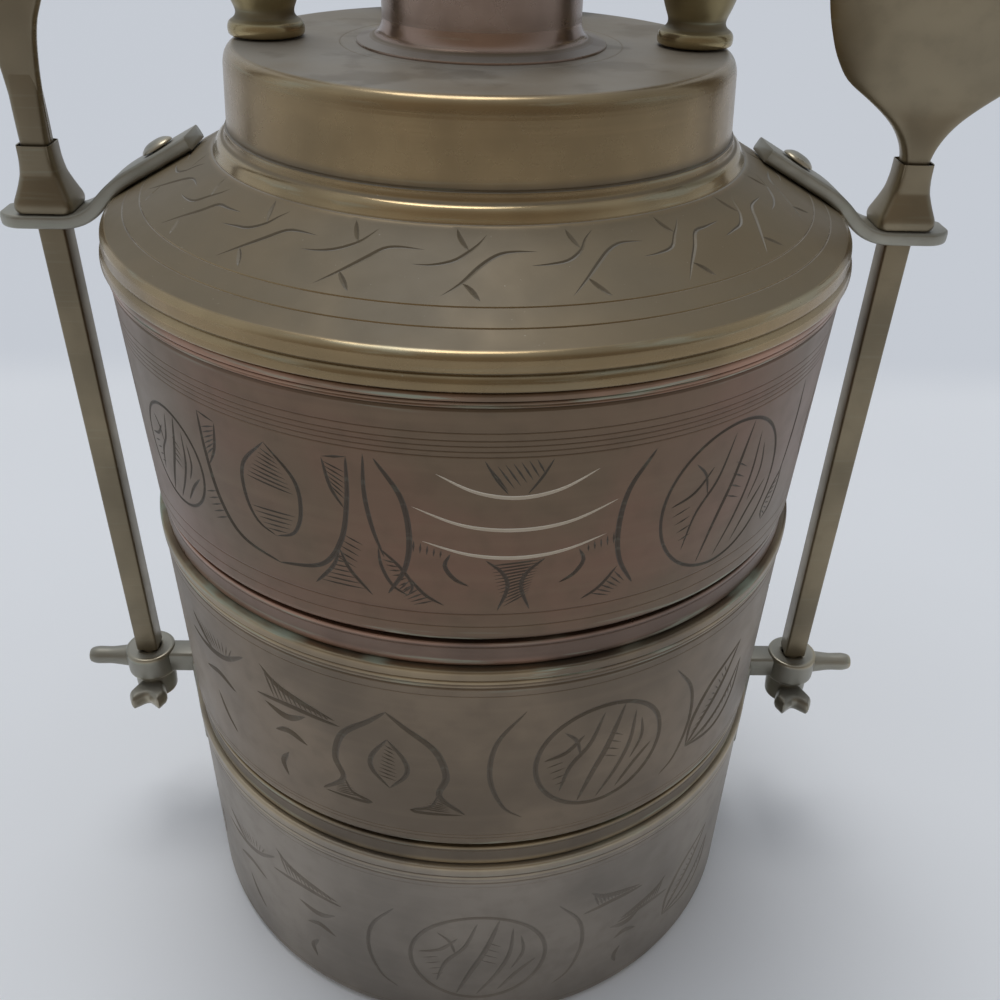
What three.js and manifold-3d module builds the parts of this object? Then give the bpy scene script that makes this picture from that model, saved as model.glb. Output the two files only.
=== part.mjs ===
// A tiffin carrier: three nesting metal bowls under a shouldered lid.
// The handles of a spoon and a fork run down through straps on the lid and
// eyes on the bottom bowl, where wing nuts hold them, so they lock the stack.
// Millimetres, +Z up, the stack's axis on Z and its base on z = 0.
// The spoon is at +X, the fork at -X, and the front of the carrier faces -Y.
import * as THREE from 'three';
import * as BufferGeometryUtils from 'three/addons/utils/BufferGeometryUtils.js';
import Module from 'manifold-3d';

const wasm = await Module();
wasm.setup();

// Clearances
const seatGap = 0.3; // between pieces that rest on or are joined to each other
const nestGap = 0.5; // round a spigot in the mouth that it drops into
const holeGap = 0.35; // round a bar, pin, screw or rivet in its hole
const overrun = 3; // how far a cutter runs past the metal that it cuts

// Facets
const bodySides = 40;
const smallSides = 16;
const pinSides = 10;
const nutSides = 6;

// Bowls
const mouthRadius = 75; // outside of the wall just under the top bowl's mouth
const bottomBowlHeight = 59.5;
const bowlPitch = 58; // what each further bowl adds to the stack
const bowlSheet = 1.2;
const bowlCorner = 2.2; // where the wall turns into the floor
const topBowlTaper = 1.6; // how much narrower its wall is at the foot
const middleBowlInset = 1.1; // how far its wall lies inside the top bowl's
const middleBowlTaper = 0.7;
const bottomBowlInset = 1.5;
const mouthBeadHeight = 3.4;
const mouthBeadProud = 0.4;
const mouthBeadWidth = 4.1;
const mouthBeadRound = 0.9;

// Foot rings, soldered under the middle and top bowls
const footBandHeight = 5.7; // the plain band that shows between two bowls
const footBandInset = 2.3;
const spigotDepth = 4;
const spigotWall = 1.6;

// Lid shoulder
const rimProud = 1.1;
const rimHeight = 2.6;
const rimRound = 0.5;
const rimGrooveDepth = 0.9;
const rimBoreInset = 2.5; // the rim's inside, measured in from the mouth radius
const rollHeight = 6.5; // from the rim's seat to where the cone starts
const rollInset = 1.2;
const rollRound = 1.5;
const coneRise = 11.8;
const lidSheet = 1.4;
const ledgeWidth = 5;
const lidFlangeHeight = 2.4;

// Lid neck and its flat top plate
const neckRadius = 49.4;
const neckFlare = 2.4;
const neckStepHeight = 3.6;
const neckStepProud = 0.5;
const neckTaper = 0.8;
const neckHeight = 17.7;
const plateRound = 2.5;

// Straps, riveted to the cone and pierced for the bars
const barStandoff = 14.34; // from the mouth radius out to the bars' axis
const barSize = 5.6;
const strapWidth = 11;
const strapThickness = 2.8;
const strapStartShare = 0.18; // its inner end, as a share of the way down the cone
const strapRivetShare = 0.53; // its rivet, likewise
const strapDrop = 2.1; // height of its level end's top over the rim's seat
const strapReach = 10.6; // past the bars' axis

// Rivets
const rivetHeadRadius = 3.5;
const rivetHeadHeight = 1.5;
const rivetShankRadius = 1.5;
const rivetTailHeight = 0.8;
const rivetTailRadius = 2.4;
const lugRivetHeadRadius = 2.2;
const lugRivetHeadHeight = 1;

// Pot on the plate, with its slip-on cap
const potRadius = 18.95;
const potFlare = 5;
const potFlareHeight = 5.2;
const potSheet = 1.2;
const potHeight = 32;
const capGap = 0.4;
const capSheet = 1.1;
const capSkirt = 12;
const capDome = 4.2;
const capDomeRound = 2;
const knobRadius = 5.4;
const knobHeight = 12;
const knobStudRadius = 1.5;
const knobStudLength = 2.6;

// Posts that carry the bail
const postInset = 8.4; // from the neck's radius in to the posts' axes
const postFootRadius = 7.25;
const pivotHeight = 31; // of the bail's axis over the plate
const postHeadRadius = 6.5;
const postStudRadius = 2.4;
const postStudLength = 5.6;
const postNutRadius = 5.2;
const postNutHeight = 3.2;

// Bail
const bailReach = 48; // from the bail's axis to the middle of its crown
const bailRodRadius = 2.3;
const bailCornerRadius = 24;
const bailEyeRadius = 5.2;
const bailEyeThickness = 2.6;
const bailRodStart = 3.6; // from the axis to where the rod leaves the eye
const gripRadius = 6.5;
const gripLength = 46;
const pinRadius = 2;
const pinHeadRadius = 3.4;
const pinHeadThickness = 1.2;

// Lugs on the bottom bowl
const lugPlateWidth = 16;
const lugPlateDrop = 2.1; // of its top under the bowl's mouth
const lugPlateLength = 29.4;
const lugPlateThickness = 2.4;
const lugArmSize = 6.4;
const lugArmDrop = 6.9; // of the arm's middle under the bowl's mouth
const lugHubRadius = 6.6;
const lugHubHeight = 7.4;
const lugTipRadius = 2.35;
const lugTipReach = 17; // past the bars' axis
const lugRivetRises = [3.4, 8.8]; // of its two rivets over the plate's bottom

// Wing nuts
const nutHeight = 7.4;
const nutHubRadius = 5.4;
const nutWingReach = 12;
const nutWingHalfWidth = 5.2;
const nutWingThickness = 4.6;
const nutNotchDepth = 3.4;
const screwRadius = 2.4;
const screwTail = 2.6; // how far the screwed end shows under the nut

// Collars between the cutlery and the straps
const collarHeight = 13.1;
const collarWidth = 14;
const collarNeckWidth = 8.6;
const collarDepthShare = 0.84; // its front-to-back size as a share of its width

// Spoon
const spoonHeadLength = 74.4;
const spoonHalfWidth = 24.6;
const shankThickness = 4.6;
const spoonSheet = 1.6;
const spoonDepth = 8.5;

// Fork
const forkHeadLength = 76;
const forkHalfWidth = 12;
const forkThickness = 2.4;
const forkBend = 5;
const tineCount = 4;
const tineGap = 3.1;

// Heights and radii that follow from the sizes above
const bottomMouthZ = bottomBowlHeight;
const middleMouthZ = bottomMouthZ + bowlPitch;
const topMouthZ = middleMouthZ + bowlPitch;
const nestRadius = mouthRadius + mouthBeadProud - mouthBeadWidth;
const spigotRadius = nestRadius - nestGap;
const spigotBore = spigotRadius - spigotWall;
const rimSeatZ = topMouthZ + seatGap;
const rimRadius = mouthRadius + rimProud;
const rimBore = mouthRadius - rimBoreInset;
const coneFootRadius = mouthRadius - rollInset;
const coneFootZ = rimSeatZ + rollHeight;
const coneTopRadius = neckRadius + neckFlare + seatGap;
const coneTopZ = coneFootZ + coneRise;
const neckFootZ = coneTopZ + seatGap;
const plateZ = neckFootZ + neckHeight;
const barX = mouthRadius + barStandoff;
const strapTopZ = rimSeatZ + strapDrop;
const collarFootZ = strapTopZ + seatGap;
const shankFootZ = collarFootZ + collarHeight + seatGap;
const lugPlateTop = bottomMouthZ - lugPlateDrop;
const lugPlateBottom = lugPlateTop - lugPlateLength;
const lugArmZ = bottomMouthZ - lugArmDrop;
const lugHubTopZ = lugArmZ + lugHubHeight / 2;
const lugHubFootZ = lugArmZ - lugHubHeight / 2;
const barFootZ = lugHubTopZ + seatGap;
const nutTopZ = lugHubFootZ - seatGap;
const nutFootZ = nutTopZ - nutHeight;
const postOffset = neckRadius - postInset;
const pivotZ = plateZ + pivotHeight;
const bailEyeX = postOffset + postHeadRadius + seatGap + bailEyeThickness / 2;

// A material with the look of one metal finish
function finish(color, roughness, metalness) {
  return new THREE.MeshStandardMaterial({ color, roughness, metalness });
}

// A solid of revolution about Z from [radius, z] points, outside upwards first
function turned(profile, sides) {
  const points = profile.map(([radius, z]) => new THREE.Vector2(radius, z));
  const geometry = new THREE.LatheGeometry(points, sides);
  geometry.rotateX(Math.PI / 2);
  return geometry;
}

// The same, for a ring whose profile closes on itself
function turnedRing(profile, sides) {
  return turned([...profile, profile[0]], sides);
}

// A cylinder along Z between two heights
function rod(radius, lowZ, highZ, sides) {
  const geometry = new THREE.CylinderGeometry(radius, radius, highZ - lowZ, sides);
  geometry.rotateX(Math.PI / 2);
  geometry.translate(0, 0, (lowZ + highZ) / 2);
  return geometry;
}

// A cylinder along X between two distances, at a height
function crossRod(radius, nearX, farX, z, sides) {
  const geometry = rod(radius, nearX, farX, sides);
  geometry.rotateY(Math.PI / 2);
  geometry.translate(0, 0, z);
  return geometry;
}

// A block given by its lowest and highest corners
function block(low, high) {
  const size = high.map((value, axis) => value - low[axis]);
  const middle = high.map((value, axis) => (value + low[axis]) / 2);
  const geometry = new THREE.BoxGeometry(...size);
  geometry.translate(...middle);
  return geometry;
}

// A flat outline in x and y, carried up along Z between two heights
function plate(outline, lowZ, highZ) {
  const shape = new THREE.Shape(outline.map(([x, y]) => new THREE.Vector2(x, y)));
  const geometry = new THREE.ExtrudeGeometry(shape, { depth: highZ - lowZ, bevelEnabled: false });
  geometry.translate(0, 0, lowZ);
  return geometry;
}

// A side view in x and z, carried along Y to a full width about y = 0
function slab(outline, width) {
  const geometry = plate(outline, -width / 2, width / 2);
  geometry.rotateX(Math.PI / 2);
  return geometry;
}

// Equal rings of points joined in turn, with strips closing both ends. Each
// ring has its front points from left to right and then its back points.
function lofted(rings) {
  const count = rings[0].length;
  const half = count / 2;
  const positions = rings.flat(2);
  const index = [];
  for (let ring = 0; ring < rings.length - 1; ring += 1) {
    for (let side = 0; side < count; side += 1) {
      const next = (side + 1) % count;
      const low = ring * count;
      const high = low + count;
      index.push(low + side, low + next, high + next);
      index.push(low + side, high + next, high + side);
    }
  }
  const last = (rings.length - 1) * count;
  for (let column = 0; column < half - 1; column += 1) {
    const front = column;
    const back = count - 1 - column;
    index.push(front, back, back - 1);
    index.push(front, back - 1, front + 1);
    index.push(last + front, last + back - 1, last + back);
    index.push(last + front, last + front + 1, last + back - 1);
  }
  const geometry = new THREE.BufferGeometry();
  geometry.setAttribute('position', new THREE.Float32BufferAttribute(positions, 3));
  geometry.setIndex(index);
  return geometry;
}

// A geometry as a solid that can be joined and cut
function asSolid(geometry) {
  const bare = geometry.clone();
  bare.deleteAttribute('normal');
  bare.deleteAttribute('uv');
  const merged = BufferGeometryUtils.mergeVertices(bare);
  const corners = merged.index.array;
  const faces = [];
  for (let at = 0; at < corners.length; at += 3) {
    const [a, b, c] = corners.subarray(at, at + 3);
    if (a !== b && b !== c && c !== a) {
      faces.push(a, b, c);
    }
  }
  return new wasm.Manifold(new wasm.Mesh({
    numProp: 3,
    vertProperties: Float32Array.from(merged.attributes.position.array),
    triVerts: Uint32Array.from(faces),
  }));
}

// A solid back as a geometry
function asGeometry(solid) {
  const mesh = solid.getMesh();
  const geometry = new THREE.BufferGeometry();
  geometry.setAttribute('position', new THREE.Float32BufferAttribute(mesh.vertProperties, 3));
  geometry.setIndex(Array.from(mesh.triVerts));
  geometry.computeVertexNormals();
  return geometry;
}

function joined(...geometries) {
  return asGeometry(geometries.map(asSolid).reduce((sum, solid) => sum.add(solid)));
}

function cut(geometry, ...tools) {
  return asGeometry(tools.map(asSolid).reduce((left, tool) => left.subtract(tool), asSolid(geometry)));
}

function common(geometry, other) {
  return asGeometry(asSolid(geometry).intersect(asSolid(other)));
}

const carrier = new THREE.Group();

function addPiece(name, geometry, material) {
  const mesh = new THREE.Mesh(geometry, material);
  mesh.name = name;
  carrier.add(mesh);
  return mesh;
}

// The two sides of the carrier: the spoon's at +X and the fork's at -X
const sides = [
  { name: 'right', turn: 0 },
  { name: 'left', turn: Math.PI },
];

// A piece modelled at +X, put on its own side by a half turn about Z
function addOnSide(side, name, geometry, material) {
  const mesh = addPiece(`${name}_${side.name}`, geometry, material);
  mesh.rotation.z = side.turn;
  return mesh;
}

// Outline of a bowl: floor, leaning wall, beaded mouth and back down inside.
// With a grown amount it is the same outline moved outwards, as a cutter.
function bowlProfile(floorZ, mouthZ, footRadius, wallRadius, grown = 0) {
  const beadRadius = wallRadius + mouthBeadProud + grown;
  const beadFootZ = mouthZ - mouthBeadHeight;
  return [
    [0, floorZ],
    [footRadius - bowlCorner, floorZ],
    [footRadius + grown, floorZ + bowlCorner],
    [wallRadius + grown, beadFootZ - grown],
    [beadRadius, beadFootZ + mouthBeadRound - grown],
    [beadRadius, mouthZ - mouthBeadRound],
    [beadRadius - mouthBeadRound, mouthZ],
    [nestRadius + mouthBeadRound, mouthZ],
    [nestRadius, mouthZ - mouthBeadRound],
    [nestRadius, beadFootZ + mouthBeadRound],
    [wallRadius - bowlSheet, beadFootZ - mouthBeadRound],
    [footRadius - bowlSheet, floorZ + bowlCorner + bowlSheet],
    [footRadius - bowlCorner, floorZ + bowlSheet],
    [0, floorZ + bowlSheet],
  ];
}

// A plain band over a mouth with a spigot below it that drops into the mouth
function nestingRing(mouthZ, bandRadius, bandTopZ) {
  return turnedRing([
    [spigotBore, mouthZ - spigotDepth],
    [spigotRadius, mouthZ - spigotDepth],
    [spigotRadius, mouthZ + seatGap],
    [bandRadius, mouthZ + seatGap],
    [bandRadius, bandTopZ],
    [spigotBore, bandTopZ],
  ], bodySides);
}

// A domed rivet along Z: its head stands on z = 0 and its tail is below the grip
function rivet(headRadius, headHeight, grip) {
  const shankFoot = -grip - seatGap;
  return turned([
    [0, shankFoot - rivetTailHeight],
    [rivetTailRadius, shankFoot - rivetTailHeight],
    [rivetTailRadius, shankFoot],
    [rivetShankRadius, shankFoot],
    [rivetShankRadius, 0],
    [headRadius, 0],
    [headRadius * Math.cos(Math.PI / 6), headHeight / 2],
    [headRadius / 2, headHeight * Math.cos(Math.PI / 6)],
    [0, headHeight],
  ], pinSides);
}

// Bottom bowl, with holes for the rivets of its two lugs
const bottomWallRadius = mouthRadius - bottomBowlInset;
const bottomProfile = bowlProfile(0, bottomMouthZ, bottomWallRadius, bottomWallRadius);
const lugPlateX = bottomWallRadius + seatGap + lugPlateThickness;
const lugRivetDrills = lugRivetRises.map((rise) => crossRod(
  rivetShankRadius + holeGap, nestRadius - overrun, lugPlateX + overrun, lugPlateBottom + rise, pinSides));
const bowlDrills = sides.flatMap((side) => lugRivetDrills.map((drill) => drill.clone().rotateZ(side.turn)));
addPiece('bottom_bowl', cut(turned(bottomProfile, bodySides), ...bowlDrills), finish(0x5a5347, 0.5, 0.85));

// Middle and top bowls, each on its own foot ring
const upperBowls = [
  {
    name: 'middle',
    seatZ: bottomMouthZ,
    mouthZ: middleMouthZ,
    wallRadius: mouthRadius - middleBowlInset,
    taper: middleBowlTaper,
    wall: finish(0x564c3f, 0.45, 0.85),
    ring: finish(0x4a4238, 0.55, 0.8),
  },
  {
    name: 'top',
    seatZ: middleMouthZ,
    mouthZ: topMouthZ,
    wallRadius: mouthRadius,
    taper: topBowlTaper,
    wall: finish(0x5a4a3b, 0.4, 0.85),
    ring: finish(0x6a5344, 0.4, 0.9),
  },
];
for (const bowl of upperBowls) {
  const ringTopZ = bowl.seatZ + footBandHeight;
  const profile = bowlProfile(
    ringTopZ + seatGap, bowl.mouthZ, bowl.wallRadius - bowl.taper, bowl.wallRadius);
  addPiece(`${bowl.name}_bowl`, turned(profile, bodySides), bowl.wall);
  const ring = nestingRing(bowl.seatZ, mouthRadius - footBandInset, ringTopZ);
  addPiece(`${bowl.name}_foot_ring`, ring, bowl.ring);
}

// The line of the cone's outside, and points stood off it along its normal
const coneRun = coneFootRadius - coneTopRadius;
const coneSlope = Math.atan2(coneRise, coneRun);
const coneNormal = [Math.sin(coneSlope), Math.cos(coneSlope)];
function offCone(radius, standoff) {
  const share = (radius - coneTopRadius) / coneRun;
  return [radius + coneNormal[0] * standoff, coneTopZ - share * coneRise + coneNormal[1] * standoff];
}

// A drill or rivet along Z, set square to the cone at the strap rivet's place
const strapStart = coneTopRadius + coneRun * strapStartShare;
const strapRivetRadius = coneTopRadius + coneRun * strapRivetShare;
function onStrap(geometry) {
  const [x, z] = offCone(strapRivetRadius, 2 * seatGap + strapThickness);
  geometry.rotateY(Math.PI / 2 - Math.atan2(coneNormal[1], coneNormal[0]));
  geometry.translate(x, 0, z);
  return geometry;
}
const strapGrip = lidSheet + strapThickness + seatGap * 2;
function strapDrill() {
  return onStrap(rod(rivetShankRadius + holeGap, -strapGrip - overrun, overrun, pinSides));
}

// Lid shoulder: rim, roll, cone and the ledge that carries the neck
const shoulderProfile = [
  [coneTopRadius - ledgeWidth, coneTopZ],
  [coneTopRadius - ledgeWidth, coneTopZ - lidSheet],
  [coneTopRadius - lidSheet * Math.tan(coneSlope / 2), coneTopZ - lidSheet],
  [rimBore, offCone(rimBore, 0)[1] - lidSheet / Math.cos(coneSlope)],
  [rimBore, rimSeatZ],
  [rimRadius - rimRound, rimSeatZ],
  [rimRadius, rimSeatZ + rimRound],
  [rimRadius, rimSeatZ + rimHeight - rimRound],
  [rimRadius - rimGrooveDepth, rimSeatZ + rimHeight],
  [rimRadius - rimRound, rimSeatZ + rimHeight + rimRound],
  [coneFootRadius + rollRound, coneFootZ - rollRound],
  [coneFootRadius, coneFootZ],
  [coneTopRadius, coneTopZ],
];
const shoulderDrills = sides.map((side) => strapDrill().rotateZ(side.turn));
addPiece('lid_shoulder', cut(turnedRing(shoulderProfile, bodySides), ...shoulderDrills),
  finish(0x6a5d48, 0.4, 0.9));
addPiece('lid_spigot', nestingRing(topMouthZ, rimBore - seatGap, rimSeatZ + lidFlangeHeight),
  finish(0x5c5140, 0.5, 0.85));

// Lid neck and plate, one raised drum, drilled for the posts' studs
const neckTopRadius = neckRadius - neckTaper;
const neckProfile = [
  [neckRadius - lidSheet, neckFootZ],
  [neckRadius + neckFlare, neckFootZ],
  [neckRadius + neckStepProud + neckFlare / 3, neckFootZ + neckStepHeight / 3],
  [neckRadius + neckStepProud, neckFootZ + neckStepHeight],
  [neckRadius, neckFootZ + neckStepHeight + neckStepProud],
  [neckTopRadius, plateZ - plateRound],
  [neckTopRadius - plateRound / 3, plateZ - plateRound / 3],
  [neckTopRadius - plateRound, plateZ],
  [0, plateZ],
  [0, plateZ - lidSheet],
  [neckTopRadius - plateRound, plateZ - lidSheet],
  [neckTopRadius - lidSheet, plateZ - plateRound],
];
const studDrills = sides.map((side) => {
  const drill = rod(postStudRadius + holeGap, neckFootZ, pivotZ, pinSides);
  drill.translate(postOffset, 0, 0);
  return drill.rotateZ(side.turn);
});
addPiece('lid_neck', cut(turnedRing(neckProfile, bodySides), ...studDrills), finish(0x63533a, 0.38, 0.9));

// Pot: a copper cup with a flared foot
const potFootZ = plateZ + seatGap;
const potRimZ = potFootZ + potHeight;
const potProfile = [
  [0, potFootZ],
  [potRadius + potFlare, potFootZ],
  [potRadius + potFlare, potFootZ + potSheet / 2],
  [potRadius + potFlare / 3, potFootZ + potFlareHeight / 3],
  [potRadius, potFootZ + potFlareHeight],
  [potRadius, potRimZ],
  [potRadius - potSheet, potRimZ],
  [potRadius - potSheet, potFootZ + potSheet * 2],
  [0, potFootZ + potSheet * 2],
];
addPiece('pot', turned(potProfile, smallSides * 2), finish(0x72554a, 0.35, 0.95));

// Cap: skirt, shallow dome and a hole for the knob's stud
const capBore = potRadius + capGap;
const capRadius = capBore + capSheet;
const capInsideZ = potRimZ + seatGap;
const capEdgeZ = capInsideZ + capSheet;
const capHoleRadius = knobStudRadius + holeGap;
const capProfile = [
  [capHoleRadius, capInsideZ + capDome],
  [capBore - capDomeRound, capInsideZ + capDomeRound],
  [capBore, capInsideZ],
  [capBore, capEdgeZ - capSkirt],
  [capRadius, capEdgeZ - capSkirt],
  [capRadius, capEdgeZ],
  [capRadius - capDomeRound, capEdgeZ + capDomeRound],
  [capHoleRadius, capEdgeZ + capDome],
];
addPiece('pot_cap', turnedRing(capProfile, smallSides * 2), finish(0x72554a, 0.35, 0.95));

// Knob: its stud goes through the cap's hole
const knobSeatZ = capEdgeZ + capDome + seatGap;
const knobShares = [
  [0.62, 0], [0.62, 0.08], [0.4, 0.2], [0.36, 0.34], [0.5, 0.42], [0.92, 0.55], [1, 0.68],
  [0.86, 0.86], [0.5, 0.97],
];
addPiece('cap_knob', turned([
  [0, knobSeatZ - knobStudLength],
  [knobStudRadius, knobSeatZ - knobStudLength],
  [knobStudRadius, knobSeatZ],
  ...knobShares.map(([radiusShare, heightShare]) => [
    knobRadius * radiusShare, knobSeatZ + knobHeight * heightShare]),
  [0, knobSeatZ + knobHeight],
], smallSides), finish(0x7a6845, 0.35, 0.9));

// Post: disc foot, baluster and ball head bored for the bail's pin.
// The shares are of the foot's radius and of the height of the bail's axis.
const postShares = [
  [1, 0], [1, 0.074], [0.78, 0.105], [0.745, 0.142], [0.87, 0.21], [1.03, 0.32], [0.9, 0.43],
  [0.54, 0.57], [0.49, 0.66], [0.66, 0.73], [0.52, 0.78],
];
const postFootZ = plateZ + seatGap;
const headArc = [-0.9, -0.45, 0, 0.45, 0.9, 1.3];
const postProfile = [
  [0, plateZ - postStudLength - lidSheet],
  [postStudRadius, plateZ - postStudLength - lidSheet],
  [postStudRadius, postFootZ],
  ...postShares.map(([radiusShare, heightShare]) => [
    postFootRadius * radiusShare, postFootZ + (pivotHeight - seatGap) * heightShare]),
  ...headArc.map((angle) => [postHeadRadius * Math.cos(angle), pivotZ + postHeadRadius * Math.sin(angle)]),
  [0, pivotZ + postHeadRadius],
];
const pinReach = postHeadRadius + overrun;
const pinBore = crossRod(pinRadius + holeGap, -pinReach, pinReach, pivotZ, pinSides);
const post = cut(turned(postProfile, smallSides), pinBore);
post.translate(postOffset, 0, 0);
const brass = finish(0x6f6245, 0.4, 0.9);

// Six-sided nut that holds a post from inside the neck
const postNutTopZ = plateZ - lidSheet - seatGap;
const postNut = cut(
  rod(postNutRadius, postNutTopZ - postNutHeight, postNutTopZ, nutSides),
  rod(postStudRadius + holeGap, postNutTopZ - postNutHeight - overrun, postNutTopZ + overrun, pinSides));
postNut.translate(postOffset, 0, 0);

// Pin through a post's head and the bail's eye, headed at both ends
const pinLength = postHeadRadius * 2 + bailEyeThickness + seatGap * 3;
const pin = turned([
  [0, -pinHeadThickness],
  [pinHeadRadius, -pinHeadThickness],
  [pinHeadRadius, 0],
  [pinRadius, 0],
  [pinRadius, pinLength],
  [pinHeadRadius, pinLength],
  [pinHeadRadius, pinLength + pinHeadThickness],
  [0, pinLength + pinHeadThickness],
], pinSides);
pin.rotateY(Math.PI / 2);
pin.translate(postOffset - postHeadRadius - seatGap, 0, pivotZ);
for (const side of sides) {
  addOnSide(side, 'post', post.clone(), brass.clone());
  addOnSide(side, 'post_nut', postNut.clone(), brass.clone());
  addOnSide(side, 'bail_pin', pin.clone(), brass.clone());
}

// Bail: a bent rod with a flat eye at each end, modelled upright about its axis
const crownEnd = bailEyeX - bailCornerRadius;
const armEnd = bailReach - bailCornerRadius;
const bailPath = new THREE.CurvePath();
bailPath.add(new THREE.LineCurve3(
  new THREE.Vector3(bailEyeX, 0, bailRodStart), new THREE.Vector3(bailEyeX, 0, armEnd)));
bailPath.add(new THREE.QuadraticBezierCurve3(
  new THREE.Vector3(bailEyeX, 0, armEnd),
  new THREE.Vector3(bailEyeX, 0, bailReach),
  new THREE.Vector3(crownEnd, 0, bailReach)));
bailPath.add(new THREE.LineCurve3(
  new THREE.Vector3(crownEnd, 0, bailReach), new THREE.Vector3(-crownEnd, 0, bailReach)));
bailPath.add(new THREE.QuadraticBezierCurve3(
  new THREE.Vector3(-crownEnd, 0, bailReach),
  new THREE.Vector3(-bailEyeX, 0, bailReach),
  new THREE.Vector3(-bailEyeX, 0, armEnd)));
bailPath.add(new THREE.LineCurve3(
  new THREE.Vector3(-bailEyeX, 0, armEnd), new THREE.Vector3(-bailEyeX, 0, bailRodStart)));
const rodSection = new THREE.Shape();
const rodSides = 8;
for (let side = 0; side < rodSides; side += 1) {
  const angle = (side / rodSides) * Math.PI * 2;
  const point = [bailRodRadius * Math.cos(angle), bailRodRadius * Math.sin(angle)];
  if (side === 0) {
    rodSection.moveTo(...point);
  } else {
    rodSection.lineTo(...point);
  }
}
const bailSteps = 36;
const bailRod = new THREE.ExtrudeGeometry(rodSection, {
  steps: bailSteps, bevelEnabled: false, extrudePath: bailPath });
const eyeHalf = bailEyeThickness / 2;
const bailEyes = sides.map((side) => crossRod(
  bailEyeRadius, bailEyeX - eyeHalf, bailEyeX + eyeHalf, 0, smallSides).rotateZ(side.turn));
const bailBore = crossRod(pinRadius + holeGap, -bailEyeX - overrun, bailEyeX + overrun, 0, pinSides);
const bail = cut(joined(bailRod, ...bailEyes), bailBore);

// Grip: a turned sleeve on the crown
const gripShares = [
  [-0.5, 0.66], [-0.46, 0.8], [-0.4, 0.56], [-0.34, 0.86], [-0.12, 1], [0.12, 1], [0.34, 0.86], [0.4, 0.56],
  [0.46, 0.8], [0.5, 0.66],
];
const gripBore = bailRodRadius + holeGap;
const grip = turnedRing([
  [gripBore, -gripLength / 2],
  ...gripShares.map(([lengthShare, radiusShare]) => [gripRadius * radiusShare, gripLength * lengthShare]),
  [gripBore, gripLength / 2],
], smallSides);
grip.rotateY(Math.PI / 2);
grip.translate(0, 0, bailReach);

// The bail lies back until its grip rests on the plate
const bailDip = Math.asin((pivotHeight - gripRadius - seatGap) / bailReach);
for (const [name, geometry] of [['bail', bail], ['bail_grip', grip]]) {
  const mesh = addPiece(name, geometry, brass.clone());
  mesh.rotation.x = -Math.PI / 2 - bailDip;
  mesh.position.z = pivotZ;
}

// Strap: lies on the cone, turns down over the roll and ends level past the bar
const rollOutRadius = rimRadius + seatGap;
const strapFootZ = strapTopZ - strapThickness;
const strapBendRadius = rollOutRadius + strapThickness;
const strapLevelStart = strapBendRadius + strapThickness;
const strapSide = slab([
  offCone(strapStart, seatGap),
  offCone(coneFootRadius, seatGap),
  [rollOutRadius, rimSeatZ + rimHeight + rimRound * 2],
  [rollOutRadius, strapFootZ],
  [barX + strapReach + overrun, strapFootZ],
  [barX + strapReach + overrun, strapTopZ],
  [strapLevelStart, strapTopZ],
  [strapBendRadius, strapTopZ + strapThickness / 3],
  [rollOutRadius + strapThickness / 3, rimSeatZ + rollHeight],
  offCone(coneFootRadius, seatGap + strapThickness),
  offCone(strapStart, seatGap + strapThickness),
], strapWidth);
const strapEndRadius = strapWidth / 2;
const strapEndSteps = 8;
const strapPlan = [[coneTopRadius, -strapEndRadius]];
for (let step = 0; step <= strapEndSteps; step += 1) {
  const angle = (step / strapEndSteps - 1 / 2) * Math.PI;
  strapPlan.push([
    barX + strapReach - strapEndRadius + strapEndRadius * Math.cos(angle),
    strapEndRadius * Math.sin(angle)]);
}
strapPlan.push([coneTopRadius, strapEndRadius]);
const barHoleHalf = barSize / 2 + holeGap;
const barHole = block(
  [barX - barHoleHalf, -barHoleHalf, strapFootZ - overrun],
  [barX + barHoleHalf, barHoleHalf, strapTopZ + overrun]);
const strap = cut(common(strapSide, plate(strapPlan, 0, plateZ + overrun)), barHole, strapDrill());
const strapRivet = onStrap(rivet(rivetHeadRadius, rivetHeadHeight, strapGrip));

// Lug: plate on the bowl's wall, arm, eye for the screwed end and a round tip
const lugPlateHalf = lugPlateWidth / 2;
const lugArmHalf = lugArmSize / 2;
const lugPlate = block([0, -lugPlateHalf, lugPlateBottom], [lugPlateX, lugPlateHalf, lugPlateTop]);
const lugArm = block(
  [lugPlateX - lugPlateThickness, -lugArmHalf, lugArmZ - lugArmHalf],
  [barX, lugArmHalf, lugArmZ + lugArmHalf]);
const lugHub = rod(lugHubRadius, lugHubFootZ, lugHubTopZ, smallSides);
lugHub.translate(barX, 0, 0);
const lugTip = turned([
  [0, 0],
  [lugTipRadius * 1.4, 0],
  [lugTipRadius, lugHubRadius * 2 - lugTipRadius],
  [lugTipRadius, lugTipReach - lugTipRadius / 2],
  [lugTipRadius * Math.cos(Math.PI / 4), lugTipReach - lugTipRadius / 6],
  [0, lugTipReach],
], pinSides);
lugTip.rotateY(Math.PI / 2);
lugTip.translate(barX, 0, lugArmZ);
const beadStandoff = bottomWallRadius + mouthBeadProud + seatGap;
const bowlCutter = turned([
  ...bowlProfile(-overrun, bottomMouthZ, bottomWallRadius, bottomWallRadius, seatGap).slice(0, 5),
  [beadStandoff, bottomMouthZ + overrun],
  [0, bottomMouthZ + overrun],
], bodySides);
const lugEye = rod(screwRadius + holeGap, lugHubFootZ - overrun, lugHubTopZ + overrun, pinSides);
lugEye.translate(barX, 0, 0);
const lug = cut(joined(lugPlate, lugArm, lugHub, lugTip), bowlCutter, lugEye, ...lugRivetDrills);
const lugRivetGrip = lugPlateThickness + bowlSheet + seatGap * 2;
const lugRivet = rivet(lugRivetHeadRadius, lugRivetHeadHeight, lugRivetGrip);
lugRivet.rotateY(Math.PI / 2);
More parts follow.
